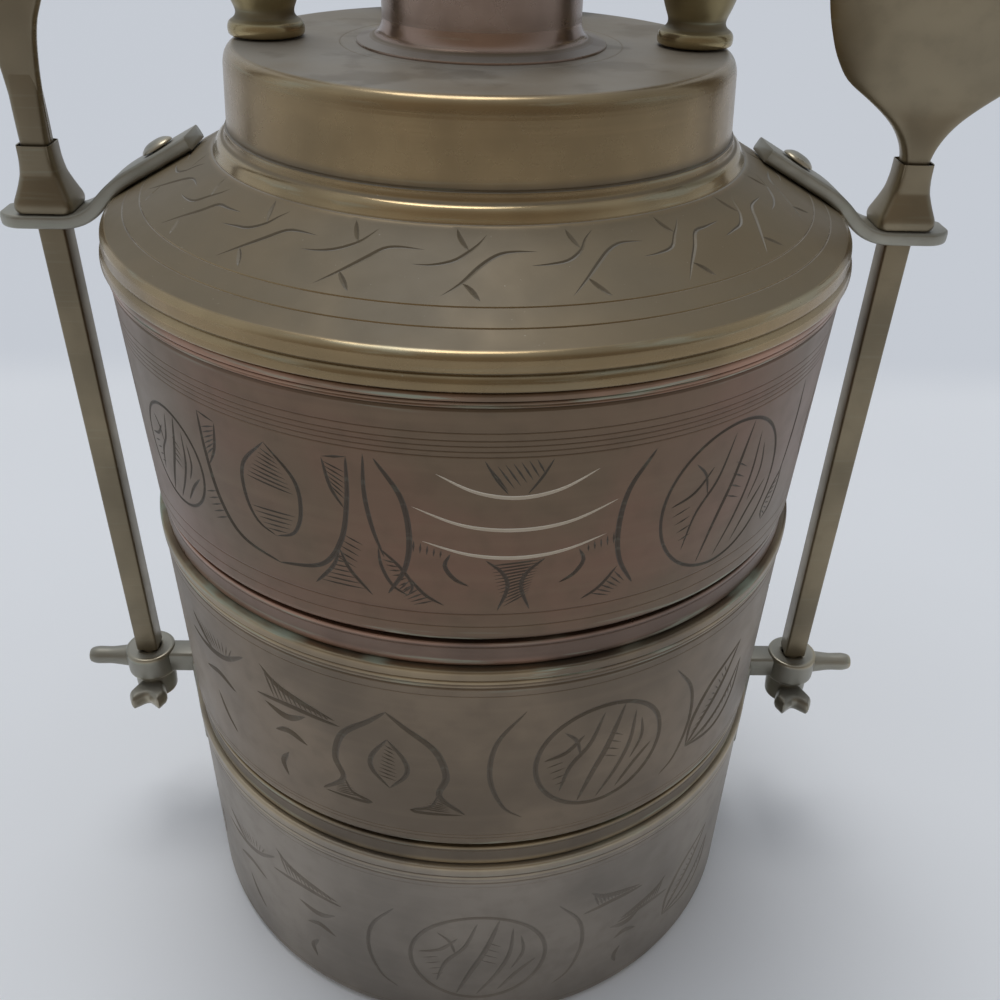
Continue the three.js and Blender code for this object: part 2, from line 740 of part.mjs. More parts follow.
lugRivet.translate(lugPlateX + seatGap, 0, 0);

// Wing nut: a hub with two fish-tailed wings
const nutOutline = [
  [-nutWingHalfWidth / 2, 0],
  [-nutWingHalfWidth, -nutWingReach + nutNotchDepth],
  [-nutWingHalfWidth * 2 / 3, -nutWingReach],
  [0, -nutWingReach + nutNotchDepth],
  [nutWingHalfWidth * 2 / 3, -nutWingReach],
  [nutWingHalfWidth, -nutWingReach + nutNotchDepth],
  [nutWingHalfWidth / 2, 0],
];
const nutPlan = nutOutline.concat(nutOutline.slice(1, -1).map(([x, y]) => [-x, -y]));
const wingTopZ = nutTopZ - (nutHeight - nutWingThickness) / 2;
const wingNut = cut(
  joined(
    rod(nutHubRadius, nutFootZ, nutTopZ, smallSides),
    plate(nutPlan, wingTopZ - nutWingThickness, wingTopZ)),
  rod(screwRadius + holeGap, nutFootZ - overrun, nutTopZ + overrun, pinSides));
wingNut.translate(barX, 0, 0);

// Collar: a square ferrule that flares down to the strap
const collarShares = [[1, 0], [1, 0.2], [0.74, 0.52], [0.03, 0.84], [0, 1]];
function squareRing(halfX, halfY, z) {
  const left = barX - halfX;
  const right = barX + halfX;
  return [[left, -halfY, z], [right, -halfY, z], [right, halfY, z], [left, halfY, z]];
}
const collarBody = lofted(collarShares.map(([flareShare, heightShare]) => {
  const half = (collarNeckWidth + (collarWidth - collarNeckWidth) * flareShare) / 2;
  return squareRing(half, half * collarDepthShare, collarFootZ + collarHeight * heightShare);
}));
const collar = cut(collarBody, block(
  [barX - barHoleHalf, -barHoleHalf, collarFootZ - overrun],
  [barX + barHoleHalf, barHoleHalf, collarFootZ + collarHeight + overrun]));

// The bar that carries a spoon's or fork's head, square, with a screwed end
const barTopZ = shankFootZ + seatGap;
const bar = block([barX - barSize / 2, -barSize / 2, barFootZ], [barX + barSize / 2, barSize / 2, barTopZ]);
const screw = rod(screwRadius, nutFootZ - screwTail, barFootZ + barSize, pinSides);
screw.translate(barX, 0, 0);

// Spoon: sections up its length. The shares are of the head's length, of the
// bowl's half width, of the step from bowl sheet to shank, and of the depth.
const spoonShares = [
  [0, 0.17, 1, 0], [0.046, 0.211, 0.9, 0], [0.099, 0.317, 0.7, 0], [0.126, 0.402, 0.55, 0.02],
  [0.153, 0.508, 0.4, 0.06], [0.2, 0.691, 0.2, 0.2], [0.247, 0.797, 0.1, 0.38], [0.321, 0.898, 0, 0.62],
  [0.391, 0.959, 0, 0.8], [0.476, 0.996, 0, 0.94], [0.57, 1, 0, 1], [0.677, 0.959, 0, 0.94],
  [0.785, 0.837, 0, 0.72], [0.879, 0.642, 0, 0.44], [0.946, 0.419, 0, 0.2], [0.987, 0.224, 0, 0.07],
  [1, 0.1, 0, 0.02],
];
const spoonColumns = [-1, -0.8, -0.45, 0, 0.45, 0.8, 1];
const spoonHead = lofted(spoonShares.map(([lengthShare, widthShare, shankShare, depthShare]) => {
  const thickness = spoonSheet + (shankThickness - spoonSheet) * shankShare;
  const z = shankFootZ + spoonHeadLength * lengthShare;
  const across = (share, face) => [
    barX + spoonHalfWidth * widthShare * share,
    -spoonDepth * depthShare * (1 - share * share) + face * thickness / 2,
    z];
  const front = spoonColumns.map((share) => across(share, -1));
  const back = spoonColumns.toReversed().map((share) => across(share, 1));
  return [...front, ...back];
}));
const spoon = joined(spoonHead, bar, screw);

// Fork: half its outline up to the tines, in shares of its length and half
// width, then tines with pointed ends, all bent gently forwards.
const forkShares = [
  [0, 0.345], [0.12, 0.33], [0.2, 0.34], [0.26, 0.385], [0.3, 0.45], [0.325, 0.52], [0.38, 0.68],
  [0.44, 0.86], [0.5, 0.97], [0.55, 1],
];
const tineRootShare = 0.57;
const tineShoulderShare = 0.93;
const forkSide = forkShares.map(([lengthShare, widthShare]) => [
  forkHalfWidth * widthShare, forkHeadLength * lengthShare]);
const tineWidth = (forkHalfWidth * 2 - tineGap * (tineCount - 1)) / tineCount;
const forkOutline = [...forkSide];
for (let tine = tineCount - 1; tine >= 0; tine -= 1) {
  const left = -forkHalfWidth + tine * (tineWidth + tineGap);
  const right = left + tineWidth;
  forkOutline.push([right, forkHeadLength * tineShoulderShare]);
  forkOutline.push([left + tineWidth / 2, forkHeadLength]);
  forkOutline.push([left, forkHeadLength * tineShoulderShare]);
  if (tine > 0) {
    forkOutline.push([left, forkHeadLength * tineRootShare]);
    forkOutline.push([left - tineGap, forkHeadLength * tineRootShare]);
  }
}
forkOutline.push(...forkSide.toReversed().map(([x, z]) => [-x, z]));
const forkHead = slab(forkOutline.map(([x, z]) => [barX + x, shankFootZ + z]), forkThickness);
const forkPoints = forkHead.attributes.position;
for (let at = 0; at < forkPoints.count; at += 1) {
  const share = (forkPoints.getZ(at) - shankFootZ) / forkHeadLength;
  forkPoints.setY(at, forkPoints.getY(at) - forkBend * (share * share - share / 3));
}
const [, [forkShankLengthShare, forkShankShare]] = forkShares;
const forkShankHalf = forkHalfWidth * forkShankShare;
const forkShank = block(
  [barX - forkShankHalf, -shankThickness / 2, shankFootZ],
  [barX + forkShankHalf, shankThickness / 2, shankFootZ + forkHeadLength * forkShankLengthShare]);
const fork = joined(forkHead, forkShank, bar, screw);

const cutleryBySide = { right: ['spoon', spoon], left: ['fork', fork] };
for (const side of sides) {
  addOnSide(side, 'strap', strap.clone(), finish(0x6b6450, 0.45, 0.85));
  addOnSide(side, 'strap_rivet', strapRivet.clone(), brass.clone());
  addOnSide(side, 'lug', lug.clone(), finish(0x6b675a, 0.5, 0.85));
  lugRivetRises.forEach((rise, number) => {
    const mesh = addOnSide(side, `lug_rivet_${number + 1}`, lugRivet.clone(), brass.clone());
    mesh.position.z = lugPlateBottom + rise;
  });
  addOnSide(side, 'wing_nut', wingNut.clone(), finish(0x66624f, 0.5, 0.85));
  addOnSide(side, 'collar', collar.clone(), brass.clone());
  const [name, geometry] = cutleryBySide[side.name];
  const mesh = addPiece(name, geometry, finish(0x75694b, 0.38, 0.9));
  mesh.rotation.z = side.turn;
}

export default carrier;
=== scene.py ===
"""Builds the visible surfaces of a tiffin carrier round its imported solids.

Every piece is a surface worked out with numpy in metres, in the frame of the
solids: +Z up the stack, +X towards the spoon and -Y towards the front.
"""
import math
from functools import partial
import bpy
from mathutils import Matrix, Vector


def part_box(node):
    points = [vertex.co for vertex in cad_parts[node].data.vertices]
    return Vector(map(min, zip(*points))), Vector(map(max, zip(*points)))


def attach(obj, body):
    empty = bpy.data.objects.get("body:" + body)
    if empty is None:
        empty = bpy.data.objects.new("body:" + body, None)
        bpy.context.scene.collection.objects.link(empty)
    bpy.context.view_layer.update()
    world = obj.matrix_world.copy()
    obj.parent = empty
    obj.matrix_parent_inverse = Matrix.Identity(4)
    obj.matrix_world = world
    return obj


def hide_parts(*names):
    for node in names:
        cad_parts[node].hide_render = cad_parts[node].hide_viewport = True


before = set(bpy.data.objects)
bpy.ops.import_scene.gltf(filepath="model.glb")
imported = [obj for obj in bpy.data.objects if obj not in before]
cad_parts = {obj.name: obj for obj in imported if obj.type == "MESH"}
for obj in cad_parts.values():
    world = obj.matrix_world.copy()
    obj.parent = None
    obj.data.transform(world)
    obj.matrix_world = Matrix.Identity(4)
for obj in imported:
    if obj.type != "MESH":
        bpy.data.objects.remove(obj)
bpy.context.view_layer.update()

from types import SimpleNamespace

import bpy
import numpy as np
from mathutils import Matrix, Vector
from mathutils.geometry import delaunay_2d_cdt

bl_info = {
    "name": "Tiffin Carrier",
    "version": (1, 0, 0),
    "blender": (4, 5, 0),
    "location": "3D View > Sidebar > Carrier",
    "description": "Builds an engraved three-bowl tiffin carrier round its solids",
    "category": "Add Mesh",
}

MM = 0.001
COLUMNS = 240  # facets round a bowl
SMALL_COLUMNS = 64  # facets round a post, a knob or an eye
WELD = 2e-7  # points nearer than this are one point
SHARP = math.radians(38)  # an edge that turns more than this is shaded sharp
FRONT = -np.pi / 2  # the angle of -Y
BOWL_REPEATS, LID_REPEATS = 3, 4  # how often the engraving comes round
WALL_INSETS = (1.5, 1.1, 0)  # mm from the mouth radius in to the walls: bottom, middle and top bowl
FOOT_INSETS = (0, 0.7, 1.6)  # mm from each wall's top in to its foot
PLAY = 0.35 * MM  # between a bar, pin or rod and what it passes through
LAID = Matrix.Rotation(math.pi / 2, 4, "Y")  # lays an upright part along +X
SIDES = (("right", Matrix.Rotation(0, 4, "Z")), ("left", Matrix.Rotation(math.pi, 4, "Z")))


def linear(hex_value):
    """Linear red, green and blue of an sRGB hex colour."""
    srgb = [int(hex_value[at:at + 2], 16) / 255 for at in (1, 3, 5)]
    return tuple(c / 12.92 if c <= 0.04045 else ((c + 0.055) / 1.055) ** 2.4 for c in srgb)


def size(label, about, millimetres):
    """A length, given in millimetres."""
    return bpy.props.FloatProperty(
        name=label, description=about, default=millimetres * MM, min=0, unit="LENGTH", precision=5)


def share(label, about, value):
    """A share between 0 and 1."""
    return bpy.props.FloatProperty(
        name=label, description=about, default=value, min=0, max=1, subtype="FACTOR")


def paint(label, about, hex_value):
    """A colour, given as sRGB hex."""
    return bpy.props.FloatVectorProperty(
        name=label, description=about, default=linear(hex_value), min=0, max=1, subtype="COLOR")


class BowlSizes(bpy.types.PropertyGroup):
    """Sizes of the three bowls, their rings and their engraving"""
    mouth_radius: size("Mouth radius", "Outside of the wall under the top bowl's mouth", 75)
    sheet: size("Sheet", "Thickness of the bowls' walls", 1.2)
    corner: size("Foot corner", "Round where the wall turns into the floor", 2.2)
    bead_proud: size("Bead proud", "How far the mouth's bead stands out", 0.4)
    bead_width: size("Bead width", "The mouth's bead, from outside to inside", 4.1)
    seat: size("Seat", "Gap between pieces that rest on each other", 0.3)
    band_inset: size("Band inset", "Foot band's outside, in from the mouth radius", 2.3)
    spigot_wall: size("Spigot wall", "Thickness of the spigots", 1.6)
    nest_gap: size("Nest gap", "Play of a spigot in its mouth", 0.5)
    stroke: size("Engraved stroke", "Width of a main engraved stroke", 0.72)
    hatch: size("Hatching", "Width of a hatching stroke", 0.42)
    cut_slope: share("Engraving slope", "Depth of a cut as a share of half its width", 0.55)


class LidSizes(bpy.types.PropertyGroup):
    """Sizes of the lid's shoulder, neck and plate"""
    rim_proud: size("Rim proud", "Rim's outside past the mouth radius", 1.1)
    rim_height: size("Rim height", "Height of the rim's bead", 2.6)
    groove: size("Rim groove", "Depth of the groove over the rim", 0.9)
    bore_inset: size("Bore inset", "Rim's inside, in from the mouth radius", 2.5)
    roll_height: size("Roll height", "From the rim's seat to the cone", 6.5)
    roll_inset: size("Roll inset", "Cone's foot, in from the mouth radius", 1.2)
    cone_rise: size("Cone rise", "Height of the cone", 11.8)
    sheet: size("Sheet", "Thickness of the lid", 1.4)
    ledge: size("Ledge", "Width of the ledge under the neck", 5)
    neck_radius: size("Neck radius", "Outside of the neck's wall", 49.4)
    flare: size("Neck flare", "How far the neck's foot spreads", 2.4)
    step_height: size("Step height", "Height of the step at the neck's foot", 3.6)
    step_proud: size("Step proud", "How far that step stands out", 0.5)
    taper: size("Neck taper", "How much narrower the neck is at the top", 0.8)
    neck_height: size("Neck height", "Height of the neck", 17.7)
    plate_round: size("Plate round", "Reach of the round between the neck and its plate", 3.4)


class PotSizes(bpy.types.PropertyGroup):
    """Sizes of the pot on the plate, its cap and the knob"""
    radius: size("Pot radius", "Outside of the pot's wall", 18.95)
    flare: size("Pot flare", "How far the pot's foot spreads", 5)
    flare_height: size("Flare height", "Height of that foot", 3)
    sheet: size("Sheet", "Thickness of the pot", 1.2)
    height: size("Pot height", "Height of the pot", 32)
    cap_gap: size("Cap gap", "Play of the cap on the pot", 0.4)
    cap_sheet: size("Cap sheet", "Thickness of the cap", 1.1)
    skirt: size("Cap skirt", "Height of the cap's skirt", 12)
    dome: size("Cap dome", "Rise of the cap's top", 4.2)
    knob_radius: size("Knob radius", "Widest part of the knob", 5.4)
    knob_height: size("Knob height", "Height of the knob", 12)


class BailSizes(bpy.types.PropertyGroup):
    """Sizes of the posts, the bail and its grip"""
    post_offset: size("Post offset", "From the middle to a post's axis", 41)
    post_radius: size("Post radius", "Radius of a post's foot", 7.25)
    pivot_height: size("Pivot height", "Bail's axis over the plate", 31)
    head_radius: size("Head radius", "Ball on top of a post", 6.5)
    reach: size("Bail reach", "From the bail's axis to its crown", 48)
    rod: size("Bail rod", "Radius of the bail's rod", 2.3)
    bend: size("Bail bend", "Corner of the bail", 24)
    eye_radius: size("Eye radius", "Outside of the bail's eyes", 5.2)
    eye_thickness: size("Eye thickness", "Thickness of the bail's eyes", 2.6)
    grip_radius: size("Grip radius", "Widest part of the grip", 6.5)
    grip_length: size("Grip length", "Length of the grip", 46)
    pin: size("Pin radius", "Radius of the bail's pins", 2)
    pin_head: size("Pin head", "Radius of the pins' heads", 3.4)


class StrapSizes(bpy.types.PropertyGroup):
    """Sizes of the straps, their rivets and the collars on them"""
    standoff: size("Bar standoff", "From the mouth radius to the bars' axis", 14.34)
    bar: size("Bar size", "Side of the square bars", 5.6)
    width: size("Strap width", "Width of a strap", 11)
    thickness: size("Strap thickness", "Thickness of a strap", 2.8)
    start: share("Strap start", "Strap's inner end, as a share of the way down the cone", 0.18)
    rivet: share("Strap rivet", "Strap's rivet, likewise", 0.53)
    drop: size("Strap level", "Level end's top over the rim's seat", 2.1)
    reach: size("Strap reach", "How far a strap runs past the bar's axis", 10.6)
    head_radius: size("Rivet head", "Radius of the strap rivets' heads", 3.5)
    head_height: size("Rivet height", "Height of those heads", 1.5)
    collar_height: size("Collar height", "Height of a collar", 13.1)
    collar_width: size("Collar width", "Width of a collar at its foot", 12)
    collar_neck: size("Collar neck", "Width of a collar at its top", 7)
    collar_depth: share("Collar depth", "A collar's depth as a share of its width", 0.84)


class LugSizes(bpy.types.PropertyGroup):
    """Sizes of the lugs and the wing nuts under them"""
    plate_width: size("Plate width", "Width of a lug's plate", 16)
    plate_length: size("Plate length", "Height of a lug's plate", 29.4)
    plate_drop: size("Plate drop", "Plate's top under the bowl's mouth", 2.1)
    plate_thickness: size("Plate thickness", "Thickness of a lug's plate", 2.4)
    arm: size("Arm size", "Side of a lug's square arm", 6.4)
    arm_drop: size("Arm drop", "Arm's middle under the bowl's mouth", 6.9)
    hub_radius: size("Hub radius", "Outside of a lug's eye", 6.6)
    hub_height: size("Hub height", "Height of a lug's eye", 7.4)
    tip_radius: size("Tip radius", "Radius of a lug's round tip", 2.35)
    tip_reach: size("Tip reach", "How far the tip runs past the bar's axis", 17)
    nut_height: size("Nut height", "Height of a wing nut", 7.4)
    nut_radius: size("Nut radius", "Radius of a wing nut's hub", 5.4)
    wing_reach: size("Wing reach", "From a nut's axis to the ends of its wings", 12)
    wing_half: size("Wing half width", "Half the width of a wing", 5.2)
    wing_thickness: size("Wing thickness", "Thickness of a wing", 4.6)
    notch: size("Wing notch", "Depth of the notch in a wing's end", 3.4)
    screw: size("Screw radius", "Radius of a bar's screwed end", 2.4)


class CutlerySizes(bpy.types.PropertyGroup):
    """Sizes of the spoon and the fork"""
    spoon_length: size("Spoon head", "Length of the spoon's head", 74.4)
    spoon_half: size("Spoon half width", "Half the width of the spoon's bowl", 24.6)
    spoon_sheet: size("Spoon sheet", "Thickness of the spoon's bowl", 1.6)
    spoon_depth: size("Spoon depth", "Depth of the spoon's bowl", 8.5)
    shank: size("Shank", "Thickness of the shanks", 4.6)
    fork_length: size("Fork head", "Length of the fork's head", 76)
    fork_half: size("Fork half width", "Half the width of the fork", 12)
    fork_sheet: size("Fork thickness", "Thickness of the fork", 2.4)
    fork_bend: size("Fork bend", "How far the tines come forwards", 5)
    tine_gap: size("Tine gap", "Gap between tines", 3.1)


class Finishes(bpy.types.PropertyGroup):
    """Colours of the metals and of what lies on them"""
    bottom: paint("Bottom bowl", "Hazy grey-olive brass", "#90877c")
    middle: paint("Middle bowl", "Olive-brown brass", "#7a6b59")
    top: paint("Top bowl", "Warm brown copper alloy", "#6c5b48")
    copper: paint("Copper", "Reddish turned copper", "#937e70")
    band: paint("Copper band", "Brown copper band under the top bowl", "#746053")
    lid: paint("Lid", "Golden-brown spun brass", "#8f7a58")
    fitting: paint("Fittings", "Turned brass, handled", "#92845f")
    strap: paint("Straps and lugs", "Dull olive brass", "#9c998d")
    cutlery: paint("Cutlery", "Forged brass, rubbed", "#867a63")
    # The joints' colour is tarnish, darkened further as painted shade on the recessed band under the middle
    # bowl
    joints: paint("Joints", "Brass darkened in the joints", "#6d6152")
    # The rubbed colours are also painted highlights on the lid's crests and bands and at the pot's foot
    worn: paint("Worn edges", "Brass rubbed bright", "#c8b288")
    worn_copper: paint("Worn copper", "Copper rubbed bright", "#c99a80")
    # Grime, also used as painted shade in concave corners and in the cuts
    grime_and_shade: paint("Grime", "Old polish and soot in corners and cuts", "#3f3b32")
    dust: paint("Dust", "Grey film on what faces up", "#8a867e")
    oxide: paint("Oxide", "Brown matt film on slopes", "#6c614b")
    verdigris: paint("Verdigris", "Pale green salts in the seams", "#a3ad9a")
    # Bare metal in the bright cuts, painted pale as a highlight
    bare_cut_highlight: paint("Fresh cuts", "Metal laid bare in the bright cuts", "#d8d0c2")
    fleck: paint("Flecks", "Pale specks of dust", "#b9b4a8")
    blush: paint("Blush", "Reddish clouds in the top bowl's brown", "#765b4a")


class StageSettings(bpy.types.PropertyGroup):
    """The camera, the light and the table"""
    camera_back: size("Camera distance", "How far the camera stands in front of the axis", 209.55)
    camera_height: size("Camera height", "Height of the camera over the floor", 246.23)
    pitch: bpy.props.FloatProperty(
        name="Pitch", description="How far the camera looks down", default=0.58953, unit="ROTATION")
    yaw: bpy.props.FloatProperty(
        name="Yaw", description="How far the camera looks to the right", default=0.029166,
        unit="ROTATION")
    roll: bpy.props.FloatProperty(
        name="Roll", description="How far the camera leans", default=-0.029299, unit="ROTATION")
    lens: bpy.props.FloatProperty(
        name="Lens", description="Focal length in mm on a 36 mm sensor", default=36.16, min=1)
    # The floor is paler than the board behind it, partly as painted light against the carrier's shade
    floor: paint("Floor", "Pale table under the carrier", "#eef0f3")
    backdrop: paint("Backdrop", "Slightly greyer board behind it", "#e2e5ea")
    sky: paint("Surroundings", "Pale room round the carrier", "#ccd3dc")
    front: paint("Front of the room", "Dimmer room behind the camera", "#9d9388")
    sky_strength: bpy.props.FloatProperty(
        name="Surroundings' strength", description="Brightness of the room", default=0.78, min=0)
    lamp_strength: bpy.props.FloatProperty(
        name="Lamp strength", default=1.0, min=0,
        description="Light of the overhead lamp on the table, in W per square metre")
    lamp_back: bpy.props.FloatProperty(
        name="Lamp back", description="How far behind upright the lamp's light comes from",
        default=0.24, unit="ROTATION")
    lamp_side: bpy.props.FloatProperty(
        name="Lamp left", description="How far left of upright the lamp's light comes from",
        default=0.1, unit="ROTATION")
    lamp_width: bpy.props.FloatProperty(
        name="Lamp width", description="How wide the lamp looks from the table", default=0.5,
        unit="ROTATION")


def sizes_of(scene):
    """Every size in one place: the groups, and the heights and radii that follow from them."""
    b, d, h, s, g = (scene.carrier_bowls, scene.carrier_lid, scene.carrier_bail, scene.carrier_straps,
                     scene.carrier_lugs)
    v = SimpleNamespace(b=b, d=d, p=scene.carrier_pot, h=h, s=s, g=g, c=scene.carrier_cutlery)
    boxes = [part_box(f"{name}_bowl") for name in ("bottom", "middle", "top")]
    v.floors, v.mouths = [low.z for low, _ in boxes], [high.z for _, high in boxes]
    v.walls = [b.mouth_radius - inset * MM for inset in WALL_INSETS]
    v.feet = [wall - inset * MM for wall, inset in zip(v.walls, FOOT_INSETS)]
    v.nest = b.mouth_radius + b.bead_proud - b.bead_width
    v.spigot = v.nest - b.nest_gap
    v.rim_z = v.mouths[2] + b.seat
    v.rim_radius = b.mouth_radius + d.rim_proud
    v.rim_bore = b.mouth_radius - d.bore_inset
    v.cone_foot = np.array([b.mouth_radius - d.roll_inset, v.rim_z + d.roll_height])
    v.cone_top = np.array([d.neck_radius + d.flare + b.seat, v.cone_foot[1] + d.cone_rise])
    v.slant = v.cone_top - v.cone_foot
    v.cone_normal = np.array([v.slant[1], -v.slant[0]]) / np.hypot(*v.slant)
    v.neck_z = v.cone_top[1] + b.seat
    v.plate_z = v.neck_z + d.neck_height
    v.bar_x = b.mouth_radius + s.standoff
    v.strap_top = v.rim_z + s.drop
    v.collar_z = v.strap_top + b.seat
    v.shank_z = v.collar_z + s.collar_height + b.seat
    v.arm_z = v.mouths[0] - g.arm_drop
    v.hub_top = v.arm_z + g.hub_height / 2
    v.nut_top = v.arm_z - g.hub_height / 2 - b.seat
    v.nut_foot = v.nut_top - g.nut_height
    v.pivot_z = v.plate_z + h.pivot_height
    v.eye_x = h.post_offset + h.head_radius + b.seat + h.eye_thickness / 2
    return v


def corners_at(radius, height, rows):
    """Corners of a profile: each row is a radius and a height in millimetres from the given ones,
    and the reach of the corner's round if it has one."""
    return [(radius + row[0] * MM, height + row[1] * MM, *(reach * MM for reach in row[2:])) for row in rows]


def spaced(line, step):
    """The line with points added so that no two are further apart than step, by its running length."""
    gaps = np.hypot(*np.diff(line[:, :2], axis=0).T)
    counts = np.maximum(np.ceil(gaps / step - 1e-6), 1).astype(int)
    at = np.concatenate([k + np.arange(n) / n for k, n in enumerate(counts)] + [[len(line) - 1.0]])
    return np.stack([np.interp(at, np.arange(len(line)), column) for column in line.T], 1)


def held(line, near=0.12 * MM):
    """The line with a point added close to both ends of each longer leg, so that the smooth shading
    of a corner stays at the corner."""
    leg = np.diff(line, axis=0)
    length = np.hypot(*leg[:, :2].T)
    share_of = np.where(length > 5 * near, near / np.maximum(length, 1e-9), 0)
    at = np.arange(len(leg))
    at = np.unique(np.concatenate([np.arange(len(line)), at + share_of, at + 1 - share_of]))
    return np.stack([np.interp(at, np.arange(len(line)), column) for column in line.T], 1)


def rounded(corners, steps=5):
    """A line through [x, y, reach] corners. Each one is turned by the quadratic curve whose ends
    lie its reach away on the two legs and whose middle point is the corner."""
    points, t = [np.array(corners[0][:2], float)], np.linspace(0, 1, steps + 1)[:, None]
    for before, here, after in zip(corners, corners[1:], corners[2:]):
        corner = np.array(here[:2], float)
        reach = here[2] if len(here) > 2 else 0
        if not reach:
            points.append(corner)
            continue
        legs = [np.array(other[:2], float) - corner for other in (before, after)]
        ends = [corner + leg * min(reach / np.hypot(*leg), 0.5) for leg in legs]
        points.append(ends[0] * (1 - t) ** 2 + corner * 2 * t * (1 - t) + ends[1] * t ** 2)
    return np.vstack(points + [np.array(corners[-1][:2], float)])


def through(points, step, closed=False):
    """A smooth line through points: Catmull-Rom cubics, sampled and then spaced evenly by length."""
    knots = np.array(points, float)
    if closed:
        knots = np.concatenate([knots[-1:], knots, knots[:2]])
    else:
        knots = np.concatenate([2 * knots[:1] - knots[1:2], knots, 2 * knots[-1:] - knots[-2:-1]])
    t = np.linspace(0, 1, 12, endpoint=False)[None, :, None]
    a, b, c, d = (knots[k:len(knots) - 3 + k][:, None] for k in range(4))
    line = 0.5 * (2 * b + (c - a) * t + (2 * a - 5 * b + 4 * c - d) * t ** 2
                  + (3 * b - a - 3 * c + d) * t ** 3)
    line = np.concatenate([line.reshape(-1, knots.shape[1]), knots[-2:-1]])
    run = np.concatenate([[0], np.cumsum(np.linalg.norm(np.diff(line, axis=0), axis=1))])
    at = np.linspace(0, run[-1], max(int(round(run[-1] / step)), 2) + 1)
    return np.stack([np.interp(at, run, column) for column in line.T], 1)


def eased(table, count):
    """A table of rows resampled smoothly: cubic Hermite pieces over its first column, with slopes
    from the neighbours' chord."""
    table = np.array(table, float)
    x, y = table[:, 0], table[:, 1:]
    slope = np.gradient(y, x, axis=0)
    at = np.linspace(x[0], x[-1], count)
    k = np.clip(np.searchsorted(x, at, side="right") - 1, 0, len(x) - 2)
    h = (x[k + 1] - x[k])[:, None]
    t = (at - x[k])[:, None] / h
    value = ((2 * t ** 3 - 3 * t ** 2 + 1) * y[k] + (t ** 3 - 2 * t ** 2 + t) * h * slope[k]
             + (3 * t ** 2 - 2 * t ** 3) * y[k + 1] + (t ** 3 - t ** 2) * h * slope[k + 1])
    return np.concatenate([at[:, None], value], 1)


def edge_wear(line, spread=0.7 * MM):
    """How much each point of a profile stands out (+) or lies in a corner (-): the turning of the
    line, averaged over a bell curve of the spread's width along it."""
    legs = np.diff(line, axis=0)
    lengths = np.hypot(*legs.T)
    unit = legs / np.maximum(lengths, 1e-9)[:, None]
    turn = np.zeros(len(line))
    turn[1:-1] = np.arcsin(np.clip(unit[:-1, 0] * unit[1:, 1] - unit[:-1, 1] * unit[1:, 0], -1, 1))
    run = np.concatenate([[0], np.cumsum(lengths)])
    bell = np.exp(-((run[:, None] - run[None]) / spread) ** 2)
    return np.clip(bell @ turn, -1, 1)


def shell(grid, worn=0.0):
    """Triangles over a grid of points, rows by columns, closed round its columns. Seen from outside,
    columns run to the right and rows upwards. Worn is one value, or one for each row."""
    rows, columns = grid.shape[:2]
    r, c = np.meshgrid(np.arange(rows - 1), np.arange(columns), indexing="ij")
    low, nxt = r * columns + c, r * columns + (c + 1) % columns
    quads = np.stack([low, nxt, nxt + columns, low + columns], -1).reshape(-1, 4)
    worn = np.broadcast_to(np.reshape(worn, (-1, 1)).astype(float), (rows, columns))
    faces = np.concatenate([quads[:, [0, 1, 2]], quads[:, [0, 2, 3]]])
    return SimpleNamespace(points=grid.reshape(-1, 3), faces=faces, worn=worn.ravel().copy(),
                           cut=np.zeros(len(faces)), lean=np.zeros((len(faces), 2)))


def spun(line, columns=COLUMNS, step=2 * MM, turn=0.0):
    """A profile of radius and height carried round Z: x = r cos a, y = r sin a, z = h."""
    line = spaced(held(line), step)
    angle = np.linspace(0, 2 * np.pi, columns, endpoint=False) + turn
    r, z = line[:, :1], line[:, 1:2]
    grid = np.stack([r * np.cos(angle), r * np.sin(angle), np.broadcast_to(z, (len(line), columns))], -1)
    return shell(grid, edge_wear(line))


def squared(half_a, half_b, corner, along, steps=3):
    """Rounded rectangles stood in a row: half sizes a and b and corner radius at each distance
    along. A point is the corner's centre plus the radius turned through that corner's quarter."""
    half_a, half_b, corner, along = np.broadcast_arrays(
        *(np.atleast_1d(x)[:, None] for x in (half_a, half_b, corner, along)))
    corner = np.minimum(corner, np.minimum(half_a, half_b))
    angle = np.concatenate([np.linspace(q, q + 1, steps + 1) for q in range(4)]) * np.pi / 2
    sign = np.repeat(np.exp(1j * (np.arange(4) + 0.5) * np.pi / 2), steps + 1)
    a = np.sign(sign.real) * (half_a - corner) + corner * np.cos(angle)
    b = np.sign(sign.imag) * (half_b - corner) + corner * np.sin(angle)
    return np.stack([a, b, np.broadcast_to(along, a.shape)], -1)


def bar(half_a, half_b, low, high, corner=0.5 * MM, ends=0.5 * MM):
    """A square bar along its third axis, with rounded edges and ends: near each end the section
    shrinks as a quarter circle does, and the last row is one point."""
    t = np.linspace(0, 1, 4) * np.pi / 2
    inset = ends * (1 - np.sin(t))
    along = np.concatenate([[low], low + ends * (1 - np.cos(t)), high - ends * (1 - np.cos(t[::-1])), [high]])
    inset = np.concatenate([[0], inset, inset[::-1], [0]])
    size_a, size_b = half_a - inset, half_b - inset
    size_a[[0, -1]] = size_b[[0, -1]] = 0
    return squared(size_a, size_b, corner, along)


def carried(path, section):
    """A section of [width, out] points, one row per path point, carried along a path in the x-z
    plane: width runs along y and out along the path's left-hand normal."""
    tangent = np.gradient(path, axis=0)
    tangent /= np.hypot(*tangent.T)[:, None]
    x = path[:, :1] - tangent[:, 1:] * section[..., 1]
    z = path[:, 1:] + tangent[:, :1] * section[..., 1]
    return np.stack([x, -section[..., 0], z], -1)


def moved(part, matrix):
    """A copy of the shell, turned and placed by a 4 x 4 matrix."""
    m = np.array(matrix)
    return SimpleNamespace(**vars(part) | {"points": part.points @ m[:3, :3].T + m[:3, 3]})


